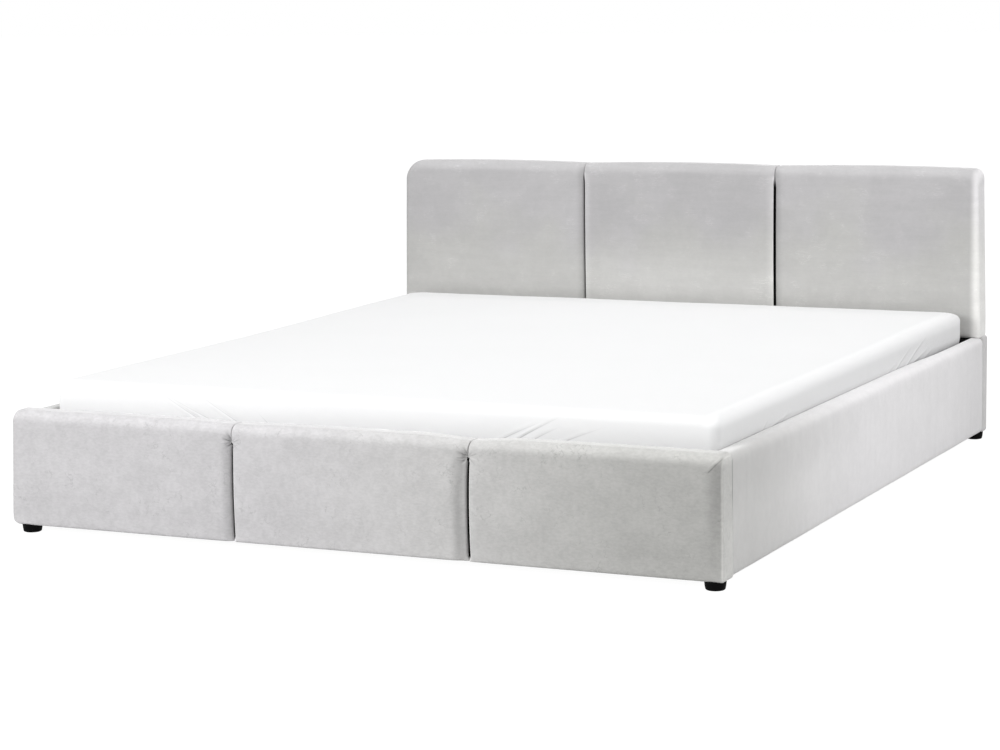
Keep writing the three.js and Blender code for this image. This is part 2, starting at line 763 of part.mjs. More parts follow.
function makeStruts() {
  const { length, turn } = strutSpan()
  const boreRadius = rodRadius + boreGap
  const cylinderEnd = length * cylinderEndShare
  const boreStart = length * boreStartShare
  const rodStart = length * rodStartShare
  const body = solidOf(turned([
    [0, eyeRadius - strutEyeBite],
    [cylinderRadius, eyeRadius - strutEyeBite],
    [cylinderRadius, cylinderEnd - cylinderChamfer],
    [cylinderRadius - cylinderChamfer, cylinderEnd],
    [boreRadius, cylinderEnd],
    [boreRadius, boreStart],
    [0, boreStart],
  ], turn))
  const eye = solidOf(barAlongX(eyeRadius, eyeInner, eyeOuter, strutFoot))
  const eyeHole = solidOf(barAlongX(
    strutStudRadius + fitGap, eyeInner - cutOverrun, eyeOuter + cutOverrun, strutFoot))
  pair(gasStruts, 'gas_strut_cylinder', geometryOf(cut(join(body, eye), eyeHole)), paintedSteel)

  const shaft = solidOf(turned([
    [0, rodStart],
    [rodRadius, rodStart],
    [rodRadius, length - rodEyeRadius + strutEyeBite],
    [0, length - rodEyeRadius + strutEyeBite],
  ], turn))
  const rodEye = solidOf(barAlongX(rodEyeRadius, eyeInner, eyeOuter, strutHead))
  const studEnd = frameOuter - armGap - studHeadThickness
  const stud = solidOf(barAlongX(headStudRadius, studEnd, strutCenterX, strutHead))
  const studHead = solidOf(barAlongX(studHeadRadius, studEnd, studEnd + studHeadThickness, strutHead))
  pair(gasStruts, 'gas_strut_rod', geometryOf(join(shaft, rodEye, stud, studHead)), polishedRod)
}

makeHeadboard()
makeFootboard()
makeRails()
makeGlides()
makeStorageFloor()
makeCornerBrackets()
makeRests()
makeHinges()
makeFrameTubes()
makeLiftArms()
makeSlats()
makeBedding()
makeMattressStop()
makeStruts()

export default bed
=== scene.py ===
# %% [markdown]
# # An upholstered ottoman bed
# This lesson dresses a finished mechanical model of a bed. The hard parts already have their true shape and
# place. What Blender adds is what makes them look real: padded velvet, a stretched sheet, wood grain, steel.
# Everything is in metres. X runs across the bed, Y runs from the foot end to the headboard, and Z is up.

import json
import math

import bmesh
import bpy
import numpy as np
from mathutils import Matrix, Vector


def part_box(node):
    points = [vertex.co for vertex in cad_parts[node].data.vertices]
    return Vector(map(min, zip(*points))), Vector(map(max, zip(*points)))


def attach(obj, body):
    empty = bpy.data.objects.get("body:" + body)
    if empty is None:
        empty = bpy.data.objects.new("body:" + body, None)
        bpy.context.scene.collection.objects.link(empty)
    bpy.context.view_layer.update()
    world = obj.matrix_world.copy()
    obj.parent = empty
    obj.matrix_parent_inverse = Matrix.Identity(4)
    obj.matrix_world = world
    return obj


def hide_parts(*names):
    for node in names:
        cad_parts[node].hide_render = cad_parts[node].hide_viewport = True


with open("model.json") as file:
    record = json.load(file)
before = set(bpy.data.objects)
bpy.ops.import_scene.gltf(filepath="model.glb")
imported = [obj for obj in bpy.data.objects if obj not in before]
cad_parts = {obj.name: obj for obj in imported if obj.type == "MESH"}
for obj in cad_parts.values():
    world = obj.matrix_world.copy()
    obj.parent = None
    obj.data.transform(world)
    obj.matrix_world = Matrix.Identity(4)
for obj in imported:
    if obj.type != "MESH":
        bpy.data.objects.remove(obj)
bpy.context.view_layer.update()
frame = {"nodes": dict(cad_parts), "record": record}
MM = 0.001
nodes = frame["nodes"]


def span(node):
    """The lowest and highest corner of a part of the frame."""
    low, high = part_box(node)
    return np.array(low), np.array(high)


# %% [markdown]
# ## The camera
# A product photograph of a bed is taken from far away with a long lens, so that its edges stay nearly
# parallel. A camera could be aimed with a constraint, but written out as a direction and a roll it can be
# matched to a photograph number by number.

# %% Place the camera
SENSOR = 36.0
FOCAL_SHARE = 2.71826
NEAREST, FURTHEST = 0.1, 200
camera_place = Vector((3.041, -6.728, 1.358))
yaw, pitch, roll = 0.4389, 0.1428, -0.0145

ahead = Vector((-math.sin(yaw) * math.cos(pitch), math.cos(yaw) * math.cos(pitch), -math.sin(pitch)))
level_right = Vector((math.cos(yaw), math.sin(yaw), 0))
level_up = level_right.cross(ahead)
camera_right = math.cos(roll) * level_right + math.sin(roll) * level_up
camera_up = math.cos(roll) * level_up - math.sin(roll) * level_right

lens = bpy.data.cameras.new("studio_camera")
lens.sensor_fit, lens.sensor_width, lens.lens = "HORIZONTAL", SENSOR, SENSOR * FOCAL_SHARE
lens.clip_start, lens.clip_end = NEAREST, FURTHEST
camera = bpy.data.objects.new("studio_camera", lens)
camera.matrix_world = Matrix.Translation(camera_place) @ Matrix(
    (camera_right, camera_up, -ahead)).transposed().to_4x4()
bpy.context.scene.collection.objects.link(camera)
bpy.context.scene.camera = camera
bpy.context.scene.view_settings.view_transform = "Standard"
print(f"a {lens.lens:.0f} mm lens, {(camera_place - Vector((0, 0, 0.3))).length:.1f} m from the bed")

# %% [markdown]
# ## Shader sums written as Python
# A material is a graph of nodes, and most of it is arithmetic. Each node could be added and wired by hand,
# but sums read better as sums. `Wire` holds one output socket, and adding or multiplying wires adds the
# Math node that does it. `Finish` is one material: its `node` method adds any other node.


# %% Wires that can be summed
class Wire:
    """One output of a finish's graph, which can be used in sums."""

    def __init__(self, finish, socket):
        self.finish, self.socket = finish, socket

    def _sum(self, operation, first, second):
        return self.finish.node("ShaderNodeMath", {"operation": operation}, {0: first, 1: second})

    def __add__(self, other):
        return self._sum("ADD", self, other)

    def __sub__(self, other):
        return self._sum("SUBTRACT", self, other)

    def __rsub__(self, other):
        return self._sum("SUBTRACT", other, self)

    def __mul__(self, other):
        return self._sum("MULTIPLY", self, other)

    def __rmul__(self, other):
        return self._sum("MULTIPLY", other, self)

    def __pow__(self, power):
        return self._sum("POWER", self, power)


# %% Finishes built from wires
# The black painted into the gaps between the pads as their shadow.
GAP_SHADOW_BLACK = (0.004, 0.004, 0.004)


class Finish:
    """A material, or the world, whose graph is built in plain steps."""

    def __init__(self, name, kind=bpy.data.materials):
        self.material = kind.new(name)
        self.material.use_nodes = True
        self.tree = self.material.node_tree
        self.tree.nodes.clear()

    def node(self, kind, settings=None, values=None, output=0):
        """Adds a node: its settings first, then the values or wires of its inputs."""
        made = self.tree.nodes.new(kind)
        for name, value in (settings or {}).items():
            setattr(made, name, value)
        for name, value in (values or {}).items():
            socket = made.inputs[name]
            if isinstance(value, Wire):
                self.tree.links.new(value.socket, socket)
            else:
                socket.default_value = value
        return Wire(self, made.outputs[output]) if made.outputs else None

    def place(self, stretch=(1, 1, 1)):
        """The point on the piece in metres, stretched so that a pattern runs with the piece."""
        point = self.node("ShaderNodeTexCoord", output="Object")
        return self.node("ShaderNodeMapping", None, {"Vector": point, "Scale": stretch})

    def noise(self, scale, detail=2.0, roughness=0.5, stretch=(1, 1, 1)):
        """Cloudy noise from about 0 to 1, with `scale` clouds a metre."""
        return self.node("ShaderNodeTexNoise", None, {
            "Vector": self.place(stretch), "Scale": scale, "Detail": detail, "Roughness": roughness})

    def between(self, value, low, high, to_low=0.0, to_high=1.0):
        """Maps low..high of a wire to another range, and holds it there."""
        return self.node("ShaderNodeMapRange", {"interpolation_type": "SMOOTHSTEP"}, {
            "Value": value, "From Min": low, "From Max": high, "To Min": to_low, "To Max": to_high})

    def blend(self, share, first, second, kind="MIX"):
        """One colour laid over another."""
        colors = [(*c, 1) if isinstance(c, tuple) and len(c) == 3 else c for c in (first, second)]
        return self.node("ShaderNodeMix", {"data_type": "RGBA", "blend_type": kind}, {
            0: share, 6: colors[0], 7: colors[1]}, output=2)

    def shaded(self, color, amount):
        """A colour made lighter or darker by a wire round 1."""
        grey = self.node("ShaderNodeCombineColor", None, {"Red": amount, "Green": amount, "Blue": amount})
        return self.blend(1.0, color, grey, "MULTIPLY")

    def larger(self, first, second):
        """The larger of two wires."""
        return self.node("ShaderNodeMath", {"operation": "MAXIMUM"}, {0: first, 1: second})

    def seen_directly(self):
        """1 where the camera, a mirror or glass looks at this, and 0 for its light on other things."""
        rays = [self.node("ShaderNodeLightPath", output=f"Is {way} Ray")
                for way in ("Camera", "Glossy", "Transmission")]
        return self.larger(self.larger(rays[0], rays[1]), rays[2])

    def bump(self, height, distance, under=None):
        """Relief from a height of 0 to 1 that stands for `distance`, over another relief if there is one."""
        values = {"Height": height, "Distance": distance, "Strength": 1.0}
        if under is not None:
            values["Normal"] = under
        return self.node("ShaderNodeBump", None, values)

    def done(self, painted_shadow=None, **sockets):
        """Closes the graph with one Principled shader, and a black one as painted shadow where its share is 1.
        """
        values = {name.replace("_", " "): value for name, value in sockets.items()}
        for name, value in values.items():
            if isinstance(value, tuple) and len(value) == 3:
                values[name] = (*value, 1)
        shader = self.node("ShaderNodeBsdfPrincipled", None, values)
        if painted_shadow is not None:
            # A painted shadow: a black diffuse shader, mixed in by the shadow's share.
            black = self.node("ShaderNodeBsdfDiffuse", None, {"Color": (*GAP_SHADOW_BLACK, 1)})
            shader = self.node("ShaderNodeMixShader", None, {0: painted_shadow, 1: shader, 2: black})
        self.node("ShaderNodeOutputMaterial", None, {"Surface": shader})
        return self.material


# %% [markdown]
# ## The studio
# The photograph is a cut-out on white. A floor that was simply white would need so much light that the bed
# clipped to white with it. So the floor and the world are white only for the camera and for reflections,
# which a Light Path node can tell apart, and the floor keeps a little plain colour under that glow, which
# is where the bed's soft shadow shows.

# %% Make the white world and the floor
AMBIENT, FLOOR_GLOW, FLOOR_REACH = 0.50, 0.96, 60.0
sky = Finish("studio_sky", bpy.data.worlds)
sky_strength = sky.seen_directly() * (1 - AMBIENT) + AMBIENT
sky.node("ShaderNodeOutputWorld", None, {
    "Surface": sky.node("ShaderNodeBackground", None, {"Color": (1, 1, 1, 1), "Strength": sky_strength})})
bpy.context.scene.world = sky.material

floor_paint = Finish("studio_floor")
plain = floor_paint.node("ShaderNodeBsdfDiffuse", None, {"Color": (0.7, 0.7, 0.7, 1)})
faint = floor_paint.node("ShaderNodeBsdfDiffuse", None, {"Color": (0.16, 0.16, 0.16, 1)})
glow = floor_paint.node("ShaderNodeEmission", None, {"Color": (1, 1, 1, 1), "Strength": FLOOR_GLOW})
glowing = floor_paint.node("ShaderNodeAddShader", None, {0: faint, 1: glow})
floor_paint.node("ShaderNodeOutputMaterial", None, {
    "Surface": floor_paint.node("ShaderNodeMixShader", None, {
        0: floor_paint.seen_directly(), 1: plain, 2: glowing})})

floor_mesh = bpy.data.meshes.new("studio_floor")
floor_mesh.from_pydata([(x * FLOOR_REACH, y * FLOOR_REACH, 0) for x, y in
                        ((-1, -1), (1, -1), (1, 1), (-1, 1))], [], [(0, 1, 2, 3)])
floor_mesh.materials.append(floor_paint.material)
studio_floor = bpy.data.objects.new("studio_floor", floor_mesh)
bpy.context.scene.collection.objects.link(studio_floor)
print("world light", AMBIENT, "and a floor of", 2 * FLOOR_REACH, "m")


# %% Hang three soft lamps
def soft_lamp(name, place, aim, size, power):
    """A rectangle of light that faces `aim`, with its power in watts."""
    light = bpy.data.lights.new(name, "AREA")
    light.shape, light.size, light.size_y, light.energy = "RECTANGLE", *size, power
    lamp = bpy.data.objects.new(name, light)
    lamp.location = place
    lamp.rotation_euler = (Vector(aim) - Vector(place)).to_track_quat("-Z", "Y").to_euler()
    bpy.context.scene.collection.objects.link(lamp)
    print(name, "at", place, "with", power, "W")


soft_lamp("front_lamp", (-1.5, -4.9, 1.8), (-0.2, -1.1, 0.3), (2.2, 1.6), 132)
soft_lamp("side_lamp", (4.9, -1.3, 1.6), (0.9, -0.4, 0.3), (3.0, 1.6), 58)
soft_lamp("top_lamp", (0.2, 0.7, 4.2), (0.1, 0.3, 0.4), (4.0, 4.0), 82)

# %% [markdown]
# ## Velvet
# Velvet is a dense pile of short upright fibres. Seen straight on it drinks light, seen at a slant the fibre
# tips shine, and wherever a hand brushed it the pile leans and the tone changes. Real fibres would be far too
# many. A sheen layer gives the bright slanted edges, clouds and streaks in the colour give the brushed pile,
# and a fine bump gives the nap.


# %% Mix the pile
COOL_VELVET = (0.484, 0.476, 0.485)
WARM_VELVET = (0.490, 0.488, 0.472)
NAP_DEPTH, CLOUD_DEPTH = 0.25 * MM, 0.8 * MM
# How many of each pattern fit in a metre.
BRUSHED, CLOUDS, MOTTLES, MARKS, SCRATCHES, TUFTS, FIBRES = 7.0, 9.0, 46.0, 150.0, 34.0, 420.0, 1500.0


def along(pile, axis):
    """How far along X, Y or Z the point lies, in metres."""
    point = pile.node("ShaderNodeTexCoord", output="Object")
    return pile.node("ShaderNodeSeparateXYZ", None, {"Vector": point}, output=axis)


def apart(pile, value, place):
    """How far a wire is from a place, either way."""
    return pile.node("ShaderNodeMath", {"operation": "ABSOLUTE"}, {0: value - place})


def beside_line(forward, upward, start, end, bow=0.0):
    """Where a point lies by a line from start to end: its share of the way, and how far it is above the
    line. It takes wires and arrays alike."""
    length = math.hypot(end[0] - start[0], end[1] - start[1])
    run = ((end[0] - start[0]) / length, (end[1] - start[1]) / length)
    forward, upward = forward - start[0], upward - start[1]
    share = (forward * run[0] + upward * run[1]) * (1 / length)
    above = upward * run[0] - forward * run[1]
    return share, above - share * (1.0 - share) * (4 * bow) if bow else above


def velvet(name, lay, uneven, strokes, tone, warmth, gap_shade=None, sheen=0.5):
    """`lay` stretches the brush marks, and `uneven` holds the strength of streaks, clouds, flecks and fine
    marks. `strokes` are thin scratches, dark below zero and light above. The next three take the finish:
    `tone` gives its painted light and shade round 1, `warmth` the share of the warmer tone, and the last
    where the gaps get a painted black shadow."""
    pile = Finish(name)
    brushed = pile.noise(BRUSHED, 4.0, 0.62, stretch=lay)
    cloud = pile.noise(CLOUDS, 5.0, 0.62)
    mottle = pile.noise(MOTTLES, 4.0, 0.6)
    marks = pile.noise(MARKS, 3.0, 0.62, stretch=(0.6, 0.8, 1.3))
    shade = 1.0
    for pattern, half, strength in zip((brushed, cloud, mottle, marks), (0.14, 0.14, 0.12, 0.12), uneven):
        shade = (pile.between(pattern, 0.5 - half, 0.5 + half) - 0.5) * strength + shade
    vein = pile.noise(SCRATCHES, 4.0, 0.55, stretch=lay)
    scratch = pile.between(apart(pile, vein, 0.5), 0.004, 0.020, 1.0, 0.0)
    here = pile.between(pile.noise(21.0, 2.0), 0.50, 0.60) * pile.between(cloud, 0.42, 0.60, 0.2, 1.0)
    # `tone` multiplies in the painted light and shade of the finish.
    shade = shade * tone(pile) * (scratch * here * strokes + 1.0)
    nap = pile.noise(FIBRES, 2.0, 0.6) + pile.noise(TUFTS, 2.0, 0.5) * 0.8
    surface = pile.bump(nap, NAP_DEPTH, pile.bump(brushed * 0.4 + cloud + mottle * 0.6, CLOUD_DEPTH))
    return pile.done(
        Base_Color=pile.shaded(pile.blend(warmth(pile), COOL_VELVET, WARM_VELVET), shade),
        Roughness=pile.between(mottle, 0.3, 0.7, 0.78, 0.9), Sheen_Weight=sheen, Sheen_Roughness=0.4,
        Specular_IOR_Level=0.25, Normal=surface, painted_shadow=gap_shade(pile) if gap_shade else None)


# %% [markdown]
# ## Light and shade by place
# The lamps alone give less than the real bed shows: beside each seam one side lies in shade and the other
# catches light, and the narrow gaps between the pads are in black shadow. Those tones could be left to the
# light alone, but they would need real fibres and real stitches. Here that light and shade is painted by
# place, as ramps along the bed's own axes, so that it rides with the bed.

# %% Describe the seams of each row
# The two seams: where they are, their lean and bow, the level their sewing ends at, and the painted light and
# shade beside them. The painted crease shadows round that end are (angle, darkness, thinness), from the soft
# side anticlockwise.
HEAD_ROW = {"seams": (-0.3158, 0.3105), "bends": ((0.0, 1.6 * MM), (0.0, 1.6 * MM)), "stars": (0.778, 0.776),
            "level": (0.309, 0.804), "soft_sides": (-1, 1), "valleys": (0.0, 0.0), "sewn_line": 0.12,
            "gap_half": 2.6 * MM, "dark_half": 2.5 * MM, "sewn_to": (1.066, 1.080), "wide_light": 0.16,
            "opens_over": 0.040, "rays": (), "dip_shade": 0.0}
FOOT_ROW = {"seams": (-0.3143, 0.3212), "bends": ((2.0 * MM, 3.0 * MM), (3.5 * MM, 4.5 * MM)),
            "stars": (0.2665, 0.2700), "level": (0.022, 0.308), "soft_sides": (-1, -1), "valleys": (0.0, 0.018),
            "sewn_line": 0.55, "gap_half": 4.4 * MM, "dark_half": 4.2 * MM, "sewn_to": (-1.112, -1.090),
            "wide_light": 0.07, "opens_over": 0.003, "dip_shade": 0.20, "rays": (
                (0.38, 0.36, 0.13), (1.05, 0.22, 0.16), (-0.30, 0.18, 0.12), (0.06, -0.14, 0.14),
                (-0.85, -0.16, 0.13), (2.75, 0.26, 0.12), (-2.95, -0.16, 0.12), (-2.5, 0.16, 0.12))}


def seams_of(pile, row):
    """For each seam of a row: how far the point lies right of it, and how far above its sewn end."""
    low, high = row["level"]
    x, z = along(pile, 0), along(pile, 2)
    share = (z - low) * (1 / (high - low))
    return [(x - place - share * lean + share * (1.0 - share) * (4 * bow), z - star)
            for place, (lean, bow), star in zip(row["seams"], row["bends"], row["stars"])]


def seam_gap_shadow(pile, row):
    """1 in the open gap between two pads, which gets a painted black shadow and closes just above the lower
    edge.
    """
    off_edge = pile.between(along(pile, 2), row["level"][0] + 4 * MM, row["level"][0] + 12 * MM)
    dark = 0.0
    for right, above in seams_of(pile, row):
        narrow = pile.between(apart(pile, right, 0.0), row["dark_half"], row["dark_half"] + 1.2 * MM, 1.0, 0.0)
        opened = pile.between(above, -row["opens_over"], 1 * MM, 1.0, 0.0)
        dark = pile.larger(dark, narrow * opened * off_edge)
    return dark


def seam_shade(pile, row):
    """Painted light and shade beside the seams: a fine painted shadow line along each seam, a wide painted
    shadow on the side where the foam falls away (-1 left, 1 right), a painted highlight on the other, and
    painted crease shadows and a shaded dip round the end of the sewing."""
    shade = 1.0
    sewn = pile.between(along(pile, 1), *row["sewn_to"], 1.0, 0.15)
    for (right, above), soft, valley in zip(seams_of(pile, row), row["soft_sides"], row["valleys"]):
        beside, other = right * soft, right * -soft
        on_soft, on_other = pile.between(beside, -1 * MM, 0.0), pile.between(other, 0.0, 1 * MM)
        # Painted shadow: a fine line along the seam, strongest on the face, and a wide band on the soft side.
        line = pile.between(apart(pile, beside, 0.0), 0.5 * MM, 1.6 * MM, row["sewn_line"], 0.0) * sewn
        wide = (pile.between(beside, valley, valley + 30 * MM, 0.22, 0.0) * on_soft
                * pile.between(beside, valley - 14 * MM, valley, 0.1 if valley else 1.0, 1.0)
                * pile.between(above, 0.0, 20 * MM, 1.0, 0.25))
        # A painted highlight on the crisp side of the seam.
        lit = (pile.between(other, row["gap_half"], row["gap_half"] + 4 * MM, 0.46, 0.0)
               + pile.between(other, 4 * MM, 30 * MM, row["wide_light"], 0.0))
        lit = lit * on_other * pile.between(above, -12 * MM, 0.0, 1.0, 0.0)
        # Painted crease shadows round the end of the sewing, some of them painted light, and a painted shadow
        # over its dip.
        near = beside * beside + above * above
        angle = pile.node("ShaderNodeMath", {"operation": "ARCTAN2"}, {0: above, 1: beside})
        rays = 0.0
        for at, strength, thin in row["rays"]:
            rays = pile.between(apart(pile, angle, at), thin * 0.3, thin, strength, 0.0) + rays
        rays = (rays * pile.between(near, 0.003**2, 0.005**2)
                * pile.between(near, 0.012**2, 0.030**2, 1.0, 0.0))
        dip_shade = pile.between(near, 0.0, 0.022**2, row["dip_shade"], 0.0) * on_soft
        for darker in (line, wide, lit * -1, rays, dip_shade):
            shade = (1.0 - darker) * shade
    return shade


# %% Paint the light and shade of each velvet
FOLD = ((0.9169, 0.2697), (0.9467, 0.2988))
UPRIGHT, LYING, EVEN = (0.9, 3.5, 0.7), (0.9, 0.9, 8.0), (1.0, 1.0, 1.0)


def head_tone(pile):
    """Painted light and shade: lighter low down, painted highlights at the top edge and at the right end, and
    painted shade in the upper middle.
    """
    x, z = along(pile, 0), along(pile, 2)
    # Painted light low down and painted shade in the upper middle.
    low_light = pile.between(z, 0.38, 0.62, 0.15, 0.0)
    middle = pile.between(apart(pile, x, 0.0), 0.24, 0.36, 1.0, 0.0) * pile.between(z, 0.42, 0.66, 0.09, -0.05)
    # Painted highlights along the top edge and on the right end.
    top_light = pile.between(z, 0.765, 0.790, 0.0, 0.12)
    end = pile.between(x, 0.912, 0.937, 0.0, 0.74)
    return (low_light + middle + top_light + end + 0.965) * seam_shade(pile, HEAD_ROW)


def foot_tone(pile):
    """Painted light and shade: darker to the right, a painted highlight on the top edge and on the right end,
    and painted shadow along the one pressed fold at the right corner.
    """
    x, z = along(pile, 0), along(pile, 2)
    above = beside_line(x, z, *FOLD)[1]
    (left, _), (right, _) = FOLD
    beside = pile.between(x, left - 4 * MM, left + 4 * MM) * pile.between(x, right, right + 4 * MM, 1.0, 0.0)
    # Painted shadow along the fold at the right corner, with painted light just beside it.
    crease_shade = (pile.between(apart(pile, above, 0.0), 0.5 * MM, 2 * MM, 0.34, 0.0)
              - pile.between(apart(pile, above, 5 * MM), 1 * MM, 4.5 * MM, 0.12, 0.0)) * beside
    # Painted shade beside that fold, then a painted highlight on the right end.
    fold_shade_end_light = (pile.between(x, 0.900, 0.945, 0.0, 0.24) * pile.between(above, -3 * MM, 0.0, 1.0, 0.0)
               * pile.between(z, 0.09, 0.22, 0.25, 1.0)) - pile.between(x, 0.947, 0.954, 0.0, 0.46)
    # A painted highlight along the top edge, and a little painted light above the bottom.
    edges = (pile.between(z, 0.280, 0.306) * pile.between(x, 0.1, 0.8, 0.25, 0.36)
             + pile.between(z, 0.030, 0.075, 0.05, 0.0))
    joint = (pile.between(along(pile, 1), -1.0640, -1.0610, 0.0, 0.6) * pile.between(z, 0.15, 0.22)
             * pile.between(x, 0.93, 0.94))
    # Painted shade towards the right.
    across = pile.between(x, -0.9, 0.05, 1.0, 1.02) - pile.between(x, 0.10, 0.86, 0.0, 0.22) - fold_shade_end_light + edges
    return across * (1.0 - crease_shade) * (1.0 - joint) * seam_shade(pile, FOOT_ROW)


def rail_tone(pile):
    """Painted light and shade: lighter towards the head end, a painted highlight at the top, painted shade high
    on the front part and over the whole far rail, and a dark joint beside the footboard.
    """
    y, z = along(pile, 1), along(pile, 2)
    joint = pile.between(y, -1.0550, -1.0520, 0.6, 0.0) * pile.between(z, 0.15, 0.22)
    # A painted highlight on the top roll, and painted shade high on the front part.
    shine = (pile.between(z, 0.276, 0.302, 0.0, 0.12) + 1.0
             - pile.between(z, 0.14, 0.25, 0.0, 0.10) * pile.between(y, -0.6, 0.1, 1.0, 0.0))
    # Painted shade over the whole far rail.
    far_rail_shade = pile.between(along(pile, 0), -0.5, 0.5, 0.62, 1.0)
    # Painted light growing towards the head end, easing off at its last half metre.
    light = (pile.between(y, -1.0, -0.3, 1.16, 1.66) + pile.between(y, -0.4, 0.1, 0.0, 0.12)
             - pile.between(y, 0.6, 1.1, 0.0, 0.16))
    return light * (1.0 - joint) * shine * far_rail_shade


def base_shadow_tone(pile):
    """Painted shadow: the panel under the headboard is painted near black on the side that faces the mattress.
    """
    outside = pile.between(apart(pile, along(pile, 0), 0.0), 0.935, 0.945)
    # Painted shadow near black on the face towards the mattress, between the ends.
    return pile.larger(pile.between(along(pile, 1), 1.092, 1.098, 0.04, 1.3), outside * 1.3)


head_velvet = velvet("velvet_brushed", LYING, (0.03, 0.05, 0.02, 0.02), 0.22, head_tone,
                     lambda pile: pile.between(along(pile, 2) + pile.noise(5.0) * 0.5, 0.74, 0.96, 0.85, 0.1),
                     lambda pile: seam_gap_shadow(pile, HEAD_ROW))
foot_velvet = velvet("velvet_mottled", EVEN, (0.0, 0.06, 0.06, 0.07), -0.18, foot_tone,
                     lambda pile: pile.between(along(pile, 0), -0.4, 0.9),
                     lambda pile: seam_gap_shadow(pile, FOOT_ROW))
rail_velvet = velvet("velvet_rail", UPRIGHT, (0.03, 0.035, 0.03, 0.02), -0.05, rail_tone,
                     lambda pile: pile.between(along(pile, 1), -1.1, 0.0, 0.7, 0.1), sheen=0.9)
base_shadow_velvet = velvet("velvet_base_shadow", UPRIGHT, (0.03, 0.03, 0.03, 0.02), -0.05, base_shadow_tone, lambda pile: 0.3)
print("four velvets mixed")

# %% [markdown]
# ## Bedding
# The fitted sheet is plain white cotton and the mattress under it is white knit. Both are nearly flat in
# colour, so what tells them apart up close is the thread: a tight grid of threads for the sheet, a softer
# quilted knit for the mattress. On the side of the sheet the slack stands in slanting folds, and each has a
# fine shadow in its valley. The folds are listed first, since the paint and the form both follow them.

# %% Lay out the folds of the sheet
# Folds as (start, end, height, width): start is low, where the elastic holds.
NARROW, SIDE_WIDTH, SOFT = 3.4 * MM, 4.2 * MM, 6.0 * MM
foot_folds = [((-0.410, 0.262), (-0.625, 0.380), 3.4 * MM, NARROW),
              ((-0.300, 0.260), (-0.510, 0.380), 3.4 * MM, NARROW),
              ((-0.230, 0.255), (-0.320, 0.330), 1.6 * MM, SOFT),
              ((0.285, 0.262), (0.480, 0.356), 3.0 * MM, NARROW),
              ((0.330, 0.262), (0.540, 0.378), 3.6 * MM, NARROW),
              ((0.425, 0.262), (0.640, 0.350), 2.6 * MM, NARROW),
              ((0.380, 0.268), (0.520, 0.344), 2.2 * MM, NARROW),
              ((-0.355, 0.262), (-0.600, 0.366), 2.4 * MM, NARROW),
              ((0.680, 0.252), (0.750, 0.320), 1.4 * MM, SOFT)]
side_folds = [((0.400, 0.276), (0.700, 0.372), 6.5 * MM, SIDE_WIDTH),
              ((0.300, 0.276), (0.550, 0.358), 6.1 * MM, SIDE_WIDTH),
              ((0.430, 0.276), (0.720, 0.330), 5.0 * MM, SIDE_WIDTH),
              ((0.560, 0.276), (0.760, 0.322), 4.2 * MM, SIDE_WIDTH),
              ((0.230, 0.278), (0.420, 0.330), 3.0 * MM, SIDE_WIDTH),
              ((-0.760, 0.284), (-0.430, 0.318), 3.2 * MM, SIDE_WIDTH),
              ((-0.600, 0.286), (-0.500, 0.322), 3.4 * MM, SIDE_WIDTH),
              ((-0.730, 0.278), (-0.650, 0.326), 3.8 * MM, SIDE_WIDTH)]
BOW = 4 * MM
print(len(foot_folds), "folds at the foot end and", len(side_folds), "on the side")


# %% Shade the folds
def fold_lines(finish, folds, axis):
    """The fine shadow in the valley of each fold, from 0 to 1."""
    forward, level, shadow = along(finish, axis), along(finish, 2), 0.0
    for start, end, height, width in folds:
        share, above = beside_line(forward, level, start, end, BOW)
        within = finish.between(share, 0.02, 0.12) * finish.between(share, 0.35, 0.95, 1.0, 0.0)
        line = finish.between(apart(finish, above + width * 1.2, 0.0), 0.2 * MM, 1.8 * MM, 1.0, 0.0)
        shadow = finish.larger(shadow, line * within)
    return shadow


def flutes(finish, folds, axis):
    """The light ridge and the broad shade below it, which a fold has where the light skims the side."""
    forward, level, dark, light = along(finish, axis), along(finish, 2), 0.0, 0.0
    for start, end, height, width in folds:
        share, above = beside_line(forward, level, start, end, BOW)
        within = finish.between(share, 0.0, 0.10) * finish.between(share, 0.40, 0.95, height * 150, 0.0)
        hollow = (finish.between(above, -height * 2.4, -1 * MM)
                  * finish.between(above, -1 * MM, 0.8 * MM, 1.0, 0.0))
        crest = finish.between(apart(finish, above, 2.6 * MM), 0.6 * MM, 2.6 * MM, 1.0, 0.0)
        dark, light = finish.larger(dark, hollow * within), finish.larger(light, crest * within)
    return light * 0.08 - dark * 0.17


# %% Weave the cotton and the ticking
THREADS = 1400.0
cotton = Finish("sheet_cotton")
warp, weft = (cotton.node("ShaderNodeTexWave", {"bands_direction": way}, {
    "Vector": cotton.place(), "Scale": THREADS / 3, "Distortion": 0.4}) for way in "XY")
rumple = cotton.noise(22.0, 3.0, 0.5)
cotton_x, cotton_y, cotton_z = (along(cotton, axis) for axis in range(3))
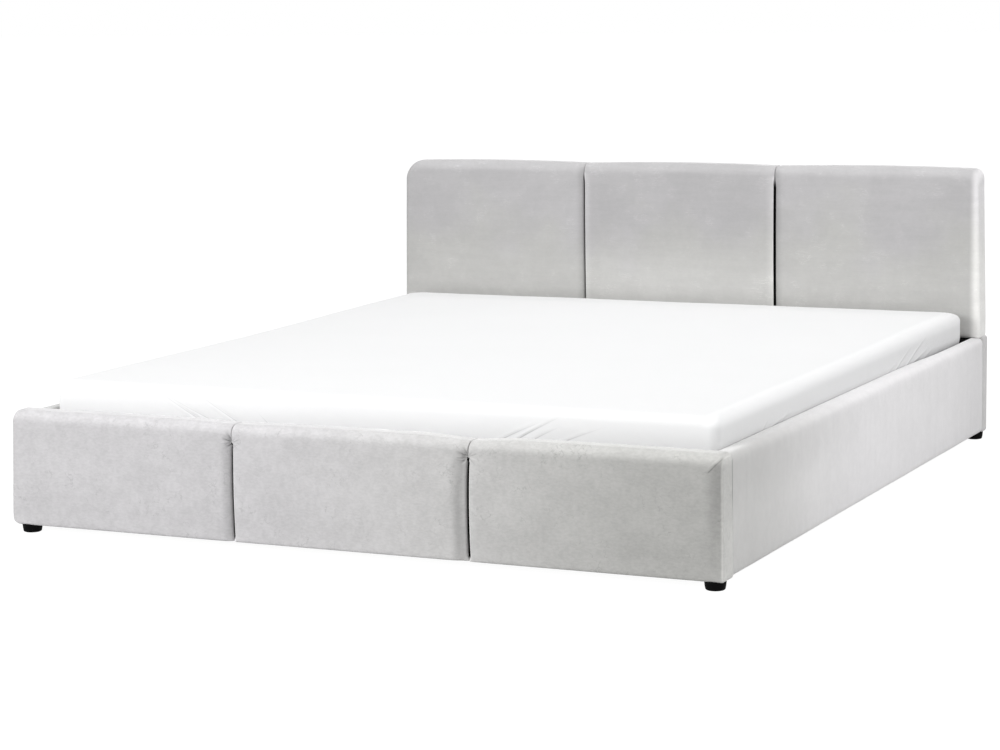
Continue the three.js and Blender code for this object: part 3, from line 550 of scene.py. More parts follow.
# Painted shadow in the fold valleys at the foot end, painted shade on the right side wall, a painted highlight
# along its upper edge, and the painted light and shade of the side folds.
lines = fold_lines(cotton, foot_folds, 0) * cotton.between(cotton_y, -0.985, -0.975, 1.0, 0.0)
shaded_side = cotton.between(cotton_x, 0.872, 0.890) * cotton.between(cotton_z, 0.338, 0.372, 0.11, 0.0)
lit_edge = cotton.between(cotton_x, 0.850, 0.872) * cotton.between(cotton_z, 0.345, 0.360, 0.0, 0.05)
cotton_clouds = (cotton.noise(3.0, 2.0) - 0.5) * 0.02 + 1.0
cotton_tone = (cotton_clouds * (1.0 - lines * 0.23) * (1.0 - shaded_side + lit_edge)
               + flutes(cotton, side_folds, 1) * cotton.between(cotton_x, 0.875, 0.885))
cotton_paint = cotton.done(
    Base_Color=cotton.shaded((0.890, 0.892, 0.896), cotton_tone),
    Roughness=cotton.between(rumple, 0.3, 0.7, 0.82, 0.92), Specular_IOR_Level=0.2,
    Sheen_Weight=0.08, Sheen_Roughness=0.5,
    Normal=cotton.bump(warp + weft, 0.04 * MM, cotton.bump(rumple, 1.2 * MM)))

QUILTING = 4.2
knit = Finish("mattress_ticking")
quilt_a, quilt_b = (knit.node("ShaderNodeTexWave", {"bands_direction": "DIAGONAL"}, {
    "Vector": knit.place((1, way, 1)), "Scale": QUILTING, "Distortion": 0.0}) for way in (1, -1))
channels = knit.node("ShaderNodeMath", {"operation": "MINIMUM"}, {0: quilt_a ** 0.25, 1: quilt_b ** 0.25})
ticking_paint = knit.done(
    Base_Color=knit.shaded((0.80, 0.80, 0.785), channels * 0.08 + 0.93), Roughness=0.9,
    Specular_IOR_Level=0.2, Normal=knit.bump(knit.noise(900.0, 1.0), 0.2 * MM, knit.bump(channels, 2.5 * MM)))
print("cotton and ticking woven")

# %% [markdown]
# ## Wood, board, steel, plastic and rubber
# These cover the working parts under the mattress. Each has the one trait that names it from a step away:
# long grain for pine, pressed flecks for hardboard, flat spangle for zinc, a fine orange peel for powder
# coat, a clean gloss for the strut's rod and a dull even black for plastic and rubber.

# %% Pine and hardboard
pine = Finish("pine")
grain = pine.noise(26.0, 5.0, 0.6, stretch=(0.06, 1.0, 1.0))
rings = pine.node("ShaderNodeTexWave", {"bands_direction": "Y"}, {
    "Vector": pine.place((0.10, 1.0, 1.0)), "Scale": 9.0, "Distortion": 7.0, "Detail": 3.0,
    "Detail Scale": 1.2})
pores = pine.noise(700.0, 2.0, 0.5, stretch=(0.03, 1.0, 1.0))
knots = pine.node("ShaderNodeTexVoronoi", None, {"Vector": pine.place((0.5, 1.4, 1.0)), "Scale": 2.6})
knot = pine.between(knots, 0.012, 0.05, 1.0, 0.0)
pine_color = pine.blend(pine.between(rings, 0.3, 0.9), (0.66, 0.47, 0.27), (0.52, 0.33, 0.16))
pine_color = pine.blend(knot, pine_color, (0.22, 0.11, 0.045))
pine_paint = pine.done(
    Base_Color=pine.shaded(pine_color, grain * 0.24 + 0.88), Roughness=pine.between(pores, 0.3, 0.7, 0.5, 0.68),
    Normal=pine.bump(grain + pores, 0.18 * MM))

board = Finish("hardboard")
flecks = board.noise(260.0, 3.0, 0.7)
scuffs = board.noise(9.0, 4.0, 0.6, stretch=(1.0, 0.35, 1.0))
board_paint = board.done(
    Base_Color=board.shaded((0.66, 0.645, 0.61), flecks * 0.10 + scuffs * 0.08 + 0.90),
    Roughness=board.between(scuffs, 0.35, 0.65, 0.42, 0.62), Normal=board.bump(flecks, 0.06 * MM))

# %% Zinc, powder coat and chrome
zinc = Finish("zinc_plate")
spangle = zinc.node("ShaderNodeTexVoronoi", None, {"Vector": zinc.place(), "Scale": 140.0}, output="Color")
facet = zinc.node("ShaderNodeSeparateColor", None, {"Color": spangle})
smear = zinc.noise(60.0, 3.0, 0.6)
zinc_paint = zinc.done(
    Base_Color=zinc.shaded((0.60, 0.61, 0.62), facet * 0.10 + 0.93), Metallic=1.0,
    Roughness=zinc.between(smear + facet * 0.3, 0.4, 1.0, 0.26, 0.44), Normal=zinc.bump(smear, 0.05 * MM))

coat = Finish("black_powder_coat")
peel = coat.noise(800.0, 2.0, 0.5)
dust = coat.noise(14.0, 3.0, 0.6)
coat_paint = coat.done(
    Base_Color=coat.blend(coat.between(dust, 0.45, 0.75, 0.0, 0.5),
                          (0.022, 0.022, 0.024), (0.038, 0.037, 0.036)),
    Roughness=coat.between(dust, 0.3, 0.7, 0.40, 0.52), Normal=coat.bump(peel, 0.08 * MM))

chrome = Finish("polished_rod")
haze = chrome.noise(45.0, 3.0, 0.6)
turning = chrome.noise(2400.0, 1.0, 0.5, stretch=(0.05, 1.0, 1.0))
chrome_paint = chrome.done(
    Base_Color=chrome.shaded((0.72, 0.73, 0.74), haze * 0.06 + 0.96), Metallic=1.0,
    Roughness=chrome.between(haze, 0.3, 0.7, 0.10, 0.20), Normal=chrome.bump(turning, 0.01 * MM))

# %% Plastic, rubber and dust cloth
plastic = Finish("black_plastic")
pebble = plastic.noise(1300.0, 2.0, 0.5)
rubbed = plastic.noise(40.0, 3.0, 0.6)
plastic_paint = plastic.done(
    Base_Color=plastic.shaded((0.0018, 0.0018, 0.0019), rubbed * 0.5 + 0.75), Specular_IOR_Level=0.05,
    Roughness=plastic.between(rubbed, 0.3, 0.7, 0.55, 0.7), Normal=plastic.bump(pebble, 0.05 * MM))

rubber = Finish("black_rubber")
grit = rubber.noise(1000.0, 3.0, 0.6)
rubber_paint = rubber.done(
    Base_Color=rubber.shaded((0.017, 0.017, 0.0175), rubber.noise(50.0, 3.0) * 0.5 + 0.75), Roughness=0.82,
    Normal=rubber.bump(grit, 0.12 * MM))

cloth = Finish("backing_cloth")
web = cloth.node("ShaderNodeTexVoronoi", None, {"Vector": cloth.place(), "Scale": 700.0})
cloth_fibre = cloth.noise(240.0, 4.0, 0.7)
lint = cloth.noise(95.0, 2.0, 0.5, stretch=(0.6, 1.0, 1.6))
faded = cloth.noise(4.5, 3.0, 0.6)
cloth_paint = cloth.done(
    Base_Color=cloth.blend(cloth.between(lint, 0.68, 0.78, 0.0, 0.5), cloth.shaded(
        (0.032, 0.032, 0.034), cloth_fibre * 0.7 + faded * 0.7 + 0.3), (0.09, 0.09, 0.088)), Roughness=0.95,
    Specular_IOR_Level=0.15, Normal=cloth.bump(web + cloth_fibre, 0.15 * MM))

print("finishes:", len(bpy.data.materials))

# %% [markdown]
# ## A form for every padded piece
# A pad is a block whose edges roll over, whose sides draw in and whose face swells. It could be sculpted,
# but a form worked out from sizes can be changed. Here each piece is a stack of cross-sections, each one a
# rectangle with four corner radii, and a grid closes each end. That keeps every face a neat quad, so that
# seams, creases and puckers can be pushed into it afterwards.


# %% Soft steps and where to cut
def smooth_step(value):
    """0 below 0, 1 above 1, and an easy slope between."""
    share = np.clip(value, 0, 1)
    return share * share * (3 - 2 * share)


def fade(distance, reach):
    """1 at no distance, easing to 0 at `reach`."""
    return smooth_step(1 - np.asarray(distance, float) / reach)


def bell(distance, width):
    """A bell curve: 1 at no distance, about a third at `width`."""
    return np.exp(-(distance / width) ** 2)


def stations(length, coarse, fine_spots):
    """Places from 0 to length. Steps are `coarse`, but `fine` near each (place, reach, fine)."""
    place = np.linspace(0, length, 4001)
    step = np.full_like(place, coarse)
    for spot, reach, fine in fine_spots:
        step = np.minimum(step, coarse + (fine - coarse) * fade(abs(place - spot), reach))
    count = np.concatenate([[0], np.cumsum(np.diff(place) * 2 / (step[1:] + step[:-1]))])
    wanted = np.linspace(0, count[-1], int(np.ceil(count[-1])) + 1)
    return np.interp(wanted, count, place)


def round_drop(distance, radius):
    """How far a rounded edge has fallen at this distance from the edge."""
    radius = np.maximum(radius, 1e-9)
    inside = np.clip(radius - distance, 0, radius)
    return radius - np.sqrt(np.maximum(radius**2 - inside**2, 0))


# %% Rounded sections
def section(low, high, radii, across, up):
    """Points round a rectangle with four corner radii, counted from its low corner; `across` and `up`
    are the shares along its sides."""
    corners = np.array([low, (high[0], low[1]), high, (low[0], high[1])], float)
    shares = [across, up, 1 - across[::-1], 1 - up[::-1]]
    room = min(high[0] - low[0], high[1] - low[1]) * 0.499
    points = []
    for side in range(4):
        start, end = corners[side], corners[(side + 1) % 4]
        length = np.linalg.norm(end - start)
        heading = (end - start) / length
        inward = np.array([-heading[1], heading[0]])
        first, last = min(radii[side], room), min(radii[(side + 1) % 4], room)
        arc_a, straight = first * math.pi / 4, length - first - last
        travel = shares[side][:-1] * (arc_a + straight + last * math.pi / 4)
        turn_a = math.pi / 4 - np.clip(travel, 0, arc_a) / max(first, 1e-9)
        turn_b = np.clip(travel - arc_a - straight, 0, None) / max(last, 1e-9)
        flat = np.clip(travel - arc_a, 0, straight)
        forward = first - first * np.sin(turn_a) + flat + last * np.sin(turn_b)
        rise = first * (1 - np.cos(turn_a)) + last * (1 - np.cos(turn_b))
        points.append(start + np.outer(forward, heading) + np.outer(rise, inward))
    return np.concatenate(points)


def ways_out(ring):
    """The outward direction at each point of a section."""
    tangent = np.roll(ring, -1, 0) - np.roll(ring, 1, 0)
    return np.stack([tangent[:, 1], -tangent[:, 0]], 1) / np.linalg.norm(tangent, axis=1)[:, None]


# %% Forms from stacked sections
def tube_faces(rows, count, first=0, closed=False):
    """Faces between stacked rings of `count` points, numbered from `first`. A closed tube joins its last
    ring to its first one, and any other gets a cap at each end."""
    faces = [(first + row * count + place, first + row * count + (place + 1) % count,
              first + (row + 1) % rows * count + (place + 1) % count, first + (row + 1) % rows * count + place)
             for row in range(rows if closed else rows - 1) for place in range(count)]
    last = first + (rows - 1) * count
    return faces if closed else faces + [tuple(range(first, first + count)), tuple(range(last, last + count))]


def cap_points(edge, across, up):
    """The inner points of a grid that fills a section, blended from its four sides."""
    bottom, right = edge[:across + 1], edge[across:across + up + 1]
    top = edge[across + up:2 * across + up + 1][::-1]
    left = np.concatenate([edge[2 * across + up:], edge[:1]])[::-1]
    s = np.linspace(0, 1, across + 1)[:, None, None]
    t = np.linspace(0, 1, up + 1)[None, :, None]
    grid = ((1 - t) * bottom[:, None] + t * top[:, None] + (1 - s) * left[None] + s * right[None]
            - (1 - s) * (1 - t) * bottom[0] - s * (1 - t) * bottom[-1]
            - (1 - s) * t * top[0] - s * t * top[-1])
    return grid[1:-1, 1:-1].reshape(-1, 3)


def cap_faces(base, first, across, up):
    """The faces of that grid. Its edge is numbered from `base` and its inner points from `first`."""
    number = np.zeros((across + 1, up + 1), int)
    number[1:-1, 1:-1] = first + np.arange((across - 1) * (up - 1)).reshape(across - 1, up - 1)
    number[:, 0] = base + np.arange(across + 1)
    number[-1, :] = base + across + np.arange(up + 1)
    number[:, -1] = base + across + up + np.arange(across, -1, -1)
    number[0, 1:-1] = base + 2 * across + up + np.arange(up - 1, 0, -1)
    return np.stack([number[:-1, :-1], number[1:, :-1], number[1:, 1:], number[:-1, 1:]], -1).reshape(-1, 4)


def lofted(rings, ends=(True, True)):
    """Vertices and faces of a stack of sections given as (places, across count, up count, points). A grid
    closes the first and the last section where `ends` says so."""
    levels, across, up, points = rings
    ring = 2 * (across + up)
    vertices = [points.reshape(-1, 3)]
    faces = []
    for row in range(levels - 1):
        low = row * ring + np.arange(ring)
        high = low + ring
        faces.append(np.stack([low, np.roll(low, -1), np.roll(high, -1), high], 1))
    count = levels * ring
    for row in [row for row, closed in zip((0, levels - 1), ends) if closed]:
        quads = cap_faces(row * ring, count, across, up)
        faces.append(quads[:, ::-1] if row == 0 else quads)
        vertices.append(cap_points(points[row], across, up))
        count += len(vertices[-1])
    return np.concatenate(vertices), np.concatenate(faces)


# %% Pieces
def new_piece(name, vertices, faces, paint, smooth=True):
    """A piece with its faces turned outwards."""
    mesh = bpy.data.meshes.new(name)
    mesh.from_pydata([tuple(v) for v in np.asarray(vertices, float)], [],
                     [tuple(int(i) for i in face) for face in faces])
    graph = bmesh.new()
    graph.from_mesh(mesh)
    bmesh.ops.recalc_face_normals(graph, faces=graph.faces)
    middle = sum((face.calc_center_median() for face in graph.faces), Vector()) / len(graph.faces)
    if sum((face.calc_center_median() - middle).dot(face.normal) * face.calc_area() for face in graph.faces) < 0:
        bmesh.ops.reverse_faces(graph, faces=graph.faces)
    graph.to_mesh(mesh)
    graph.free()
    mesh.polygons.foreach_set("use_smooth", [smooth] * len(mesh.polygons))
    mesh.materials.append(paint)
    piece = bpy.data.objects.new(name, mesh)
    bpy.context.scene.collection.objects.link(piece)
    return piece


def reshaped(piece, move):
    """Moves the points of a piece. `move` takes the points and their normals."""
    count = len(piece.data.vertices)
    points, normals = np.empty(count * 3), np.empty(count * 3)
    piece.data.vertices.foreach_get("co", points)
    piece.data.vertices.foreach_get("normal", normals)
    piece.data.vertices.foreach_set("co", move(points.reshape(-1, 3), normals.reshape(-1, 3)).ravel())
    piece.data.update()


def settle(piece, node=None, body="bed_base"):
    """Hangs a piece on the body it rides on, and hides the part of the frame that it stands for."""
    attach(piece, body)
    if node:
        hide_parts(node)


# %% Gentle unevenness
rng = np.random.default_rng(11)


def unevenness(points, wavelength, count=14):
    """Smooth random hills from about -1 to 1, for cloth that was pulled on by hand."""
    directions = rng.normal(size=(count, 3))
    directions /= np.linalg.norm(directions, axis=1)[:, None]
    rate = 2 * math.pi / wavelength * rng.uniform(0.6, 1.5, count)
    shift = rng.uniform(0, 2 * math.pi, count)
    return np.cos((points @ directions.T) * rate + shift).sum(1) / math.sqrt(count * 2)


print("helpers ready")

# %% [markdown]
# ## The pads of the headboard and the footboard
# Each panel is three pads side by side. The velvet is pulled tight over foam and sewn to its neighbour over
# the top roll. Below the end of that sewing the two pads only touch, so a dark gap opens between them. On the
# footboard the pull gathers where the sewing ends: the foam dips there and short creases fan out. A cloth
# simulation would put creases somewhere, but these sit at known points, so they are pushed in by formula.
# Each step below moves the same points, given as x from the left side, level from the back, and z.

# %% Lay a pad's plain skin
SIDE_FINE, STAR_FINE = ((0.045, 0.0011), (0.12, 0.004)), ((0.034, 0.0014), (0.09, 0.004))
PAD_STEP, BACK_CORNER_ROLL, LEAST_TOP_ROLL = 12 * MM, 3 * MM, 12 * MM
# Shares of a pad's depth: where its sides begin to open and how fast, and the same for its face.
BACK_SHARE, TURN_SHARE, FACE_FROM, FACE_OVER = 0.22, 0.35, 0.45, 0.30


def sides_of(sides, x, width, sewn):
    """The sewn sides, or else the outer ends, each with how far in x is from it and the way out there."""
    return [found for found in zip(sides, (x, width - x), (-1.0, 1.0)) if ("sewn" in found[0]) == sewn]


def plain_skin(size, sides, look):
    """The sections of a pad as (x, level, z), the ways out of its skin, and the counts of its grid."""
    width, depth, height = size
    roll_top, roll_bottom = look["rolls"]
    path = height + (roll_top + roll_bottom) * (math.pi / 4 - 1)
    across_spots, up_spots = [], [(path, 0.05, 0.003), (0, 0.03, 0.003)]
    for side, place in zip(sides, (0, width)):
        star = height - side.get("sewn", 0.025) + roll_bottom * (math.pi / 4 - 1)
        across_spots += [(place, *fine) for fine in SIDE_FINE]
        up_spots += [(star, *fine) for fine in STAR_FINE]
    across = stations(width, PAD_STEP, across_spots)
    up = stations(path, PAD_STEP, up_spots) / path
    deep = np.linspace(0, 1, 17)
    rings, normals = [], []
    for x in across:
        cut_top = cut_bottom = cut_side = 0.0
        for side, away, _ in sides_of(sides, x, width, False):
            cut_top += round_drop(away, side.get("back_corner", look["corner"][0]))
            cut_bottom += round_drop(away, side["bottom_corner"])
            cut_side += round_drop(away, side["roll"])
        top_roll = max(roll_top - (cut_top + cut_side) * 0.35, LEAST_TOP_ROLL)
        rings.append(section((0, cut_bottom), (depth - cut_side, height - cut_top),
                             (BACK_CORNER_ROLL, roll_bottom, top_roll, look["back_roll"]), deep, up))
        normals.append(ways_out(rings[-1]))
    rings = np.array(rings)
    x = np.repeat(across[:, None], rings.shape[1], 1)
    return (x, rings[..., 0].copy(), rings[..., 1].copy()), np.array(normals), (
        len(across), len(deep) - 1, len(up) - 1)


# %% Open the seams
def open_seams(skin, normals, size, sides, look):
    """The sewn sides: a small tight roll where they are sewn, and a looser one and a gap below."""
    x, level, z = skin
    width, depth, height = size
    forward = smooth_step((level - depth * BACK_SHARE) / (depth * TURN_SHARE))
    for side, away, toward in sides_of(sides, x, width, True):
        star = height - side["sewn"]

        # the roll and the shoulder, which fall along the ways out of the skin
        opened = 1 - fade(np.clip(star - z, 0, None), look["opens_over"])
        radius = look["seam_roll"] + (side["roll"] - look["seam_roll"]) * opened * forward
        shoulder, reach = side["shoulder"]
        near_star = fade(abs(z - star), 0.05)
        soft = shoulder * fade(away, reach) * forward * np.maximum(opened, 0.5 * near_star)
        fall = round_drop(away, radius) + soft
        level -= fall * normals[..., 0]
        z -= (fall - 0.4 * soft) * normals[..., 1] * np.where(normals[..., 1] < 0, 0.2, 1.0)
        if "valley" in side:
            place, sunk, wide = side["valley"]
            level -= sunk * bell(away - place, wide) * forward * smooth_step((star - 0.02 - z) / 0.06)

        # the gap, then the lean and the bow of the whole seam, and its sag at the top
        closed_below = smooth_step((z - 0.002) / 0.012)
        x -= toward * look["gap"] / 2 * opened * closed_below * fade(away, 0.05) * forward
        lean, bow = side["bend"]
        share = np.clip(z / height, 0, 1)
        x += (lean * share - bow * 4 * share * (1 - share)) * fade(away, 0.08)
        z -= side["sag"] * fade(away, 0.13) * smooth_step((share - 0.5) / 0.45)


# %% Round the outer ends and gather the velvet
def shape_ends(skin, front, size, sides, look):
    """The outer ends: the front corner is rounder than the back one, and the pad spreads or narrows."""
    x, level, z = skin
    width, depth, height = size
    for side, away, toward in sides_of(sides, x, width, False):
        inside, back_corner = np.clip(away, 0, None), side.get("back_corner", look["corner"][0])
        extra = round_drop(inside, look["corner"][1]) - round_drop(inside, back_corner)
        z -= extra * np.clip(level / depth, 0, 1) ** 1.5 * smooth_step((z - height + 0.14) / 0.14)
        at_top, at_bottom = side["spread"]
        low_share = np.clip(1.15 - 1.3 * z / height, 0, 1)
        x += toward * (at_top + (at_bottom - at_top) * low_share) * fade(away, 0.16)
        if "tuck" in side:
            start, end, sunk, reach = side["tuck"]
            share, below = beside_line(away, z - height, start, end)
            line = fade(np.clip(-share, 0, None), 0.15) * fade(np.clip(share - 1, 0, None), 0.15)
            level -= sunk * line * front * smooth_step(below / 0.0018) * fade(below, reach)
            level += sunk * 0.35 * line * front * bell(below + 0.0024, 0.0024)
            hollow = bell(away - 0.018, 0.010) * smooth_step((height - 0.04 - z) / 0.03)
            level -= sunk * 0.4 * hollow * front * smooth_step(z / 0.05)


def swell(skin, size, look):
    """The crown: the face swells to its middle, and the top edge rises between its ends."""
    x, level, z = skin
    width, depth, height = size
    sx, sz = np.clip(2 * x / width - 1, -1, 1), 2 * z / height - 1
    level += look["crown"] * np.clip(level / depth, 0, 1) ** 2 * ((1 - sx**4) * (1 - sz**4) - 1) * 0.8
    z += look["rise"] * (1 - sx**2) * np.clip((z / height - 0.6) / 0.4, 0, 1) ** 2
    z -= look["rise"]


def gather(skin, front, size, sides):
    """The pull round the end of the sewing: a dip, and creases that fan out from it."""
    x, level, z = skin
    for side, away, _ in sides_of(sides, x, size[0], True):
        rise = z - (size[2] - side["sewn"])
        radius, angle = np.hypot(away, rise), np.arctan2(rise, away)
        level -= side["dip"] * bell(radius, side["dip_reach"]) * front
        for at, sunk, reach, thin in side["fan"]:
            line = bell(angle - at, thin) * bell(radius - 0.007, reach)
            beside = bell(angle - at - 2.2 * thin, thin) * bell(radius - 0.010, reach)
            level -= (sunk * line - 0.45 * sunk * beside) * front * np.clip(radius / 0.004, 0, 1)


def pad(name, low, high, sides, look):
    """A pad that faces the foot end. `sides` describes its left and its right side: an outer end, or a seam
    to the next pad. `look` holds the sizes that the whole row shares."""
    size = _, depth, _ = high - low
    skin, normals, counts = plain_skin(size, sides, look)
    open_seams(skin, normals, size, sides, look)
    vertices, faces = lofted((*counts, np.stack(skin, -1)))
    x, level, z = skin = vertices.T.copy()
    front = smooth_step((level - depth * FACE_FROM) / (depth * FACE_OVER))
    shape_ends(skin, front, size, sides, look)
    swell(skin, size, look)
    gather(skin, front, size, sides)
    placed = np.stack([low[0] + x, high[1] - level, low[2] + z], 1)
    wave = unevenness(placed, 0.16) * 0.5 * MM + unevenness(placed, 0.05) * 0.14 * MM
    placed[:, 1] -= wave * np.clip(level / depth, 0, 1) ** 3
    placed[:, 1] = np.minimum(placed[:, 1], high[1])
    return new_piece(name, placed, faces, look["paint"])


# %% [markdown]
# The creases are written as (angle, depth, reach, thinness) round the end of the sewing: an angle of zero
# points straight away from the seam. On one side of each groove the foam falls away in a wide soft shoulder
# with long creases, and on the other side the velvet is drawn crisply round the edge.

# %% Describe the sides of the six pads
LONG_FAN = [(1.15, 4.0 * MM, 0.015, 0.15), (0.62, 5.2 * MM, 0.020, 0.12), (0.16, 5.2 * MM, 0.020, 0.11),
            (-0.26, 3.8 * MM, 0.017, 0.12), (-0.80, 2.6 * MM, 0.015, 0.15)]
SHORT_FAN = [(0.62, 2.6 * MM, 0.010, 0.17), (0.08, 1.6 * MM, 0.009, 0.13), (-0.50, 1.2 * MM, 0.010, 0.16)]
SOFT_SEAM = {"roll": 8 * MM, "shoulder": (10 * MM, 0.032), "dip": 5.0 * MM, "dip_reach": 0.022,
             "fan": LONG_FAN, "sag": 0.0}
CRISP_SEAM = {"roll": 4.5 * MM, "shoulder": (1.0 * MM, 0.020), "dip": 1.8 * MM, "dip_reach": 0.014,
              "fan": SHORT_FAN, "sag": 0.0}
PLAIN = {"fan": (), "dip": 1.5 * MM}
HEAD_SEAM_LEFT, HEAD_SEAM_RIGHT = ({"sewn": sewn, "bend": bend, **PLAIN} for sewn, bend in zip(
    (0.026, 0.028), HEAD_ROW["bends"]))
FOOT_SEAM_LEFT, FOOT_SEAM_RIGHT = ({"sewn": sewn, "bend": bend, "sag": sag} for sewn, bend, sag in zip(
    (0.047, 0.044), FOOT_ROW["bends"], (2.5 * MM, 6 * MM)))
HEAD_END = {"roll": 12 * MM, "bottom_corner": 7 * MM, "spread": (0.0, 8 * MM)}
FOOT_TUCK = ((0.040, -0.042), (0.007, -0.009), 4.6 * MM, 0.030)
WIDE_SHOULDER = (8 * MM, 0.052)
rows = {
    "headboard": {
        "rolls": (0.030, 0.012), "corner": (0.024, 0.060), "seam_roll": 4.0 * MM, "gap": 5.0 * MM,
        "taller": 2 * MM, "back_roll": 0.006, "opens_over": 0.040, "crown": 0.007, "rise": 0.005,
        "paint": head_velvet, "seams": HEAD_ROW["seams"], "sides": (
            ({**HEAD_END, "back_corner": 44 * MM}, {**SOFT_SEAM, **HEAD_SEAM_LEFT, "shoulder": WIDE_SHOULDER}),
            ({**CRISP_SEAM, **HEAD_SEAM_LEFT}, {**CRISP_SEAM, **HEAD_SEAM_RIGHT}),
            ({**SOFT_SEAM, **HEAD_SEAM_RIGHT, "shoulder": (5.5 * MM, 0.034)}, HEAD_END))},
    "footboard": {
        "rolls": (0.024, 0.006), "corner": (0.016, 0.020), "seam_roll": 3.6 * MM, "gap": 7.8 * MM,
        "taller": 6 * MM, "back_roll": 0.010, "opens_over": 0.006, "crown": 0.004, "rise": 0.001,
        "paint": foot_velvet, "seams": FOOT_ROW["seams"], "sides": (
            ({"roll": 8 * MM, "bottom_corner": 20 * MM, "spread": (-1.0 * MM, 8.5 * MM)},
             {**SOFT_SEAM, **FOOT_SEAM_LEFT}),
            ({**CRISP_SEAM, **FOOT_SEAM_LEFT},
             {**SOFT_SEAM, **FOOT_SEAM_RIGHT, "shoulder": WIDE_SHOULDER, "valley": (0.020, 2.2 * MM, 0.009)}),
            ({**CRISP_SEAM, **FOOT_SEAM_RIGHT},
             {"roll": 5 * MM, "bottom_corner": 6 * MM, "spread": (0.0, 1.0 * MM), "tuck": FOOT_TUCK}))}}

# %% Make the six pads
SEAM_HALF = 0.15 * MM
LINING = 1.6 * MM
for row, look in rows.items():
    whole_low, whole_high = span(f"{row}_pad_left")[0], span(f"{row}_pad_right")[1]
    whole_high += (0, span(f"{row}_board")[1][1] - LINING - whole_high[1], look["taller"])
    edges = (whole_low[0], *look["seams"], whole_high[0])
    for place, side in enumerate(("left", "center", "right")):
        low, high = whole_low.copy(), whole_high.copy()
        low[0] = edges[place] + (SEAM_HALF if place else 0)
        high[0] = edges[place + 1] - (SEAM_HALF if place < 2 else 0)
        made = pad(f"{row}_cushion_{side}", low, high, look["sides"][place], look)
        settle(made, f"{row}_pad_{side}")
        print(made.name, len(made.data.polygons), "faces", [round(v, 3) for v in high - low])

# %% [markdown]
# ## Rails and panels wrapped in velvet
# A board wrapped in foam and velvet is almost a box. What gives it away is its edges, which roll over
# further on the outside than on the inside, and its faces, which swell a little and are never quite even.


# %% Shape one wrapped board
BOARD_STEP, END_FINE, EDGE_FINE, LEAST_ROLL = 14 * MM, (0.03, 0.0012), 3 * MM, 0.4 * MM


def wrapped_board(name, axis, low, high, facing, radii, end_roll, swelling, paint):
    """A padded board that runs along X (0) or Y (1), with its outer face on the side that `facing` names.
    `radii` are the rolls of its section, counted from the bottom of the inner face."""
    inner, outer = (low[1 - axis], high[1 - axis])[::facing]
    length, thick, height = high[axis] - low[axis], abs(outer - inner), high[2] - low[2]
    places = stations(length, BOARD_STEP, [(0, *END_FINE), (length, *END_FINE)])
    across = np.linspace(0, 1, 10)
    up = stations(height, PAD_STEP, [(0, 0.03, EDGE_FINE), (height, 0.04, EDGE_FINE)]) / height
    rings = []
    for place in places:
        drop = float(round_drop(min(place, length - place), end_roll))
        ring = section((drop, drop), (thick - drop, height - drop), [max(r - drop, LEAST_ROLL) for r in radii],
                       across, up)
        rings.append(np.column_stack([np.full(len(ring), place), ring]))
    vertices, faces = lofted((len(places), len(across) - 1, len(up) - 1, np.array(rings)))
    run, out, rise = vertices.T.copy()
    outward = np.clip(out / thick, 0, 1) ** 2
    out -= swelling * outward * (1 - (1 - (2 * run / length - 1) ** 8) * (1 - (2 * rise / height - 1) ** 4))
    placed = np.zeros((len(run), 3))
    placed[:, axis] = low[axis] + run
    placed[:, 1 - axis] = inner + facing * out
    placed[:, 2] = low[2] + rise
    wave = unevenness(placed, 0.22) * 0.25 * swelling + unevenness(placed, 0.07) * 0.05 * swelling
    placed[:, 1 - axis] += facing * wave * outward
    print(name, len(faces), "faces,", round(length, 3), "m long")
    return new_piece(name, placed, faces, paint)


def lining(name, low, high, paint):
    """A flat cloth on the back of a panel."""
    return wrapped_board(name, 0, low, high, 1, (0.5 * MM,) * 4, 0.5 * MM, 0.0, paint)


# %% Make the rails and the panel under the headboard
ROLL_OVER, ROLL_DEPTH, ROLL_EASE = 15 * MM, 42 * MM, 30 * MM
CLEARS_FROM, CLEARS_OVER = 0.38, 0.40


def rolled_in(points, sign, low, high):
    """Rolls the top of a rail in towards the mattress, along its front two thirds."""
    outer = high[0] if sign > 0 else low[0]
    inner = np.clip(abs(points[:, 0] - outer) / (high[0] - low[0]), 0, 1)
    upper = smooth_step((points[:, 2] - high[2] + ROLL_DEPTH) / ROLL_EASE)
    clear = 1 - smooth_step((points[:, 1] - CLEARS_FROM) / CLEARS_OVER)
    points[:, 0] -= sign * ROLL_OVER * inner * upper * clear
    return points


for side, sign in (("left", -1), ("right", 1)):
    low, high = span(f"side_rail_{side}")
    rail = wrapped_board(f"rail_cover_{side}", 1, low, high, sign, (3 * MM, 11 * MM, 17 * MM, 6 * MM), 3.5 * MM,
                         3 * MM, rail_velvet)
    reshaped(rail, lambda points, normals: rolled_in(points, sign, low, high))
    settle(rail, f"side_rail_{side}")

low, high = span("headboard_base_panel")
high[1] = span("headboard_board")[1][1] - LINING
# Its face towards the mattress is painted near black as shadow.
base_cover = wrapped_board("headboard_base_cover", 0, low, high, 1, (4 * MM, 10 * MM, 8 * MM, 6 * MM), 6 * MM,
                           0.5 * MM, base_shadow_velvet)
settle(base_cover, "headboard_base_panel")

# %% [markdown]
# ## The linings
# Inside, the footboard is lined with a flat piece of its velvet. The back of the headboard is closed with a
# thin black dust cloth, stapled all round, so between the staples its edge puckers and its middle hangs a
# little off the board. That slack is pushed in by formula too, since it is only a few millimetres.

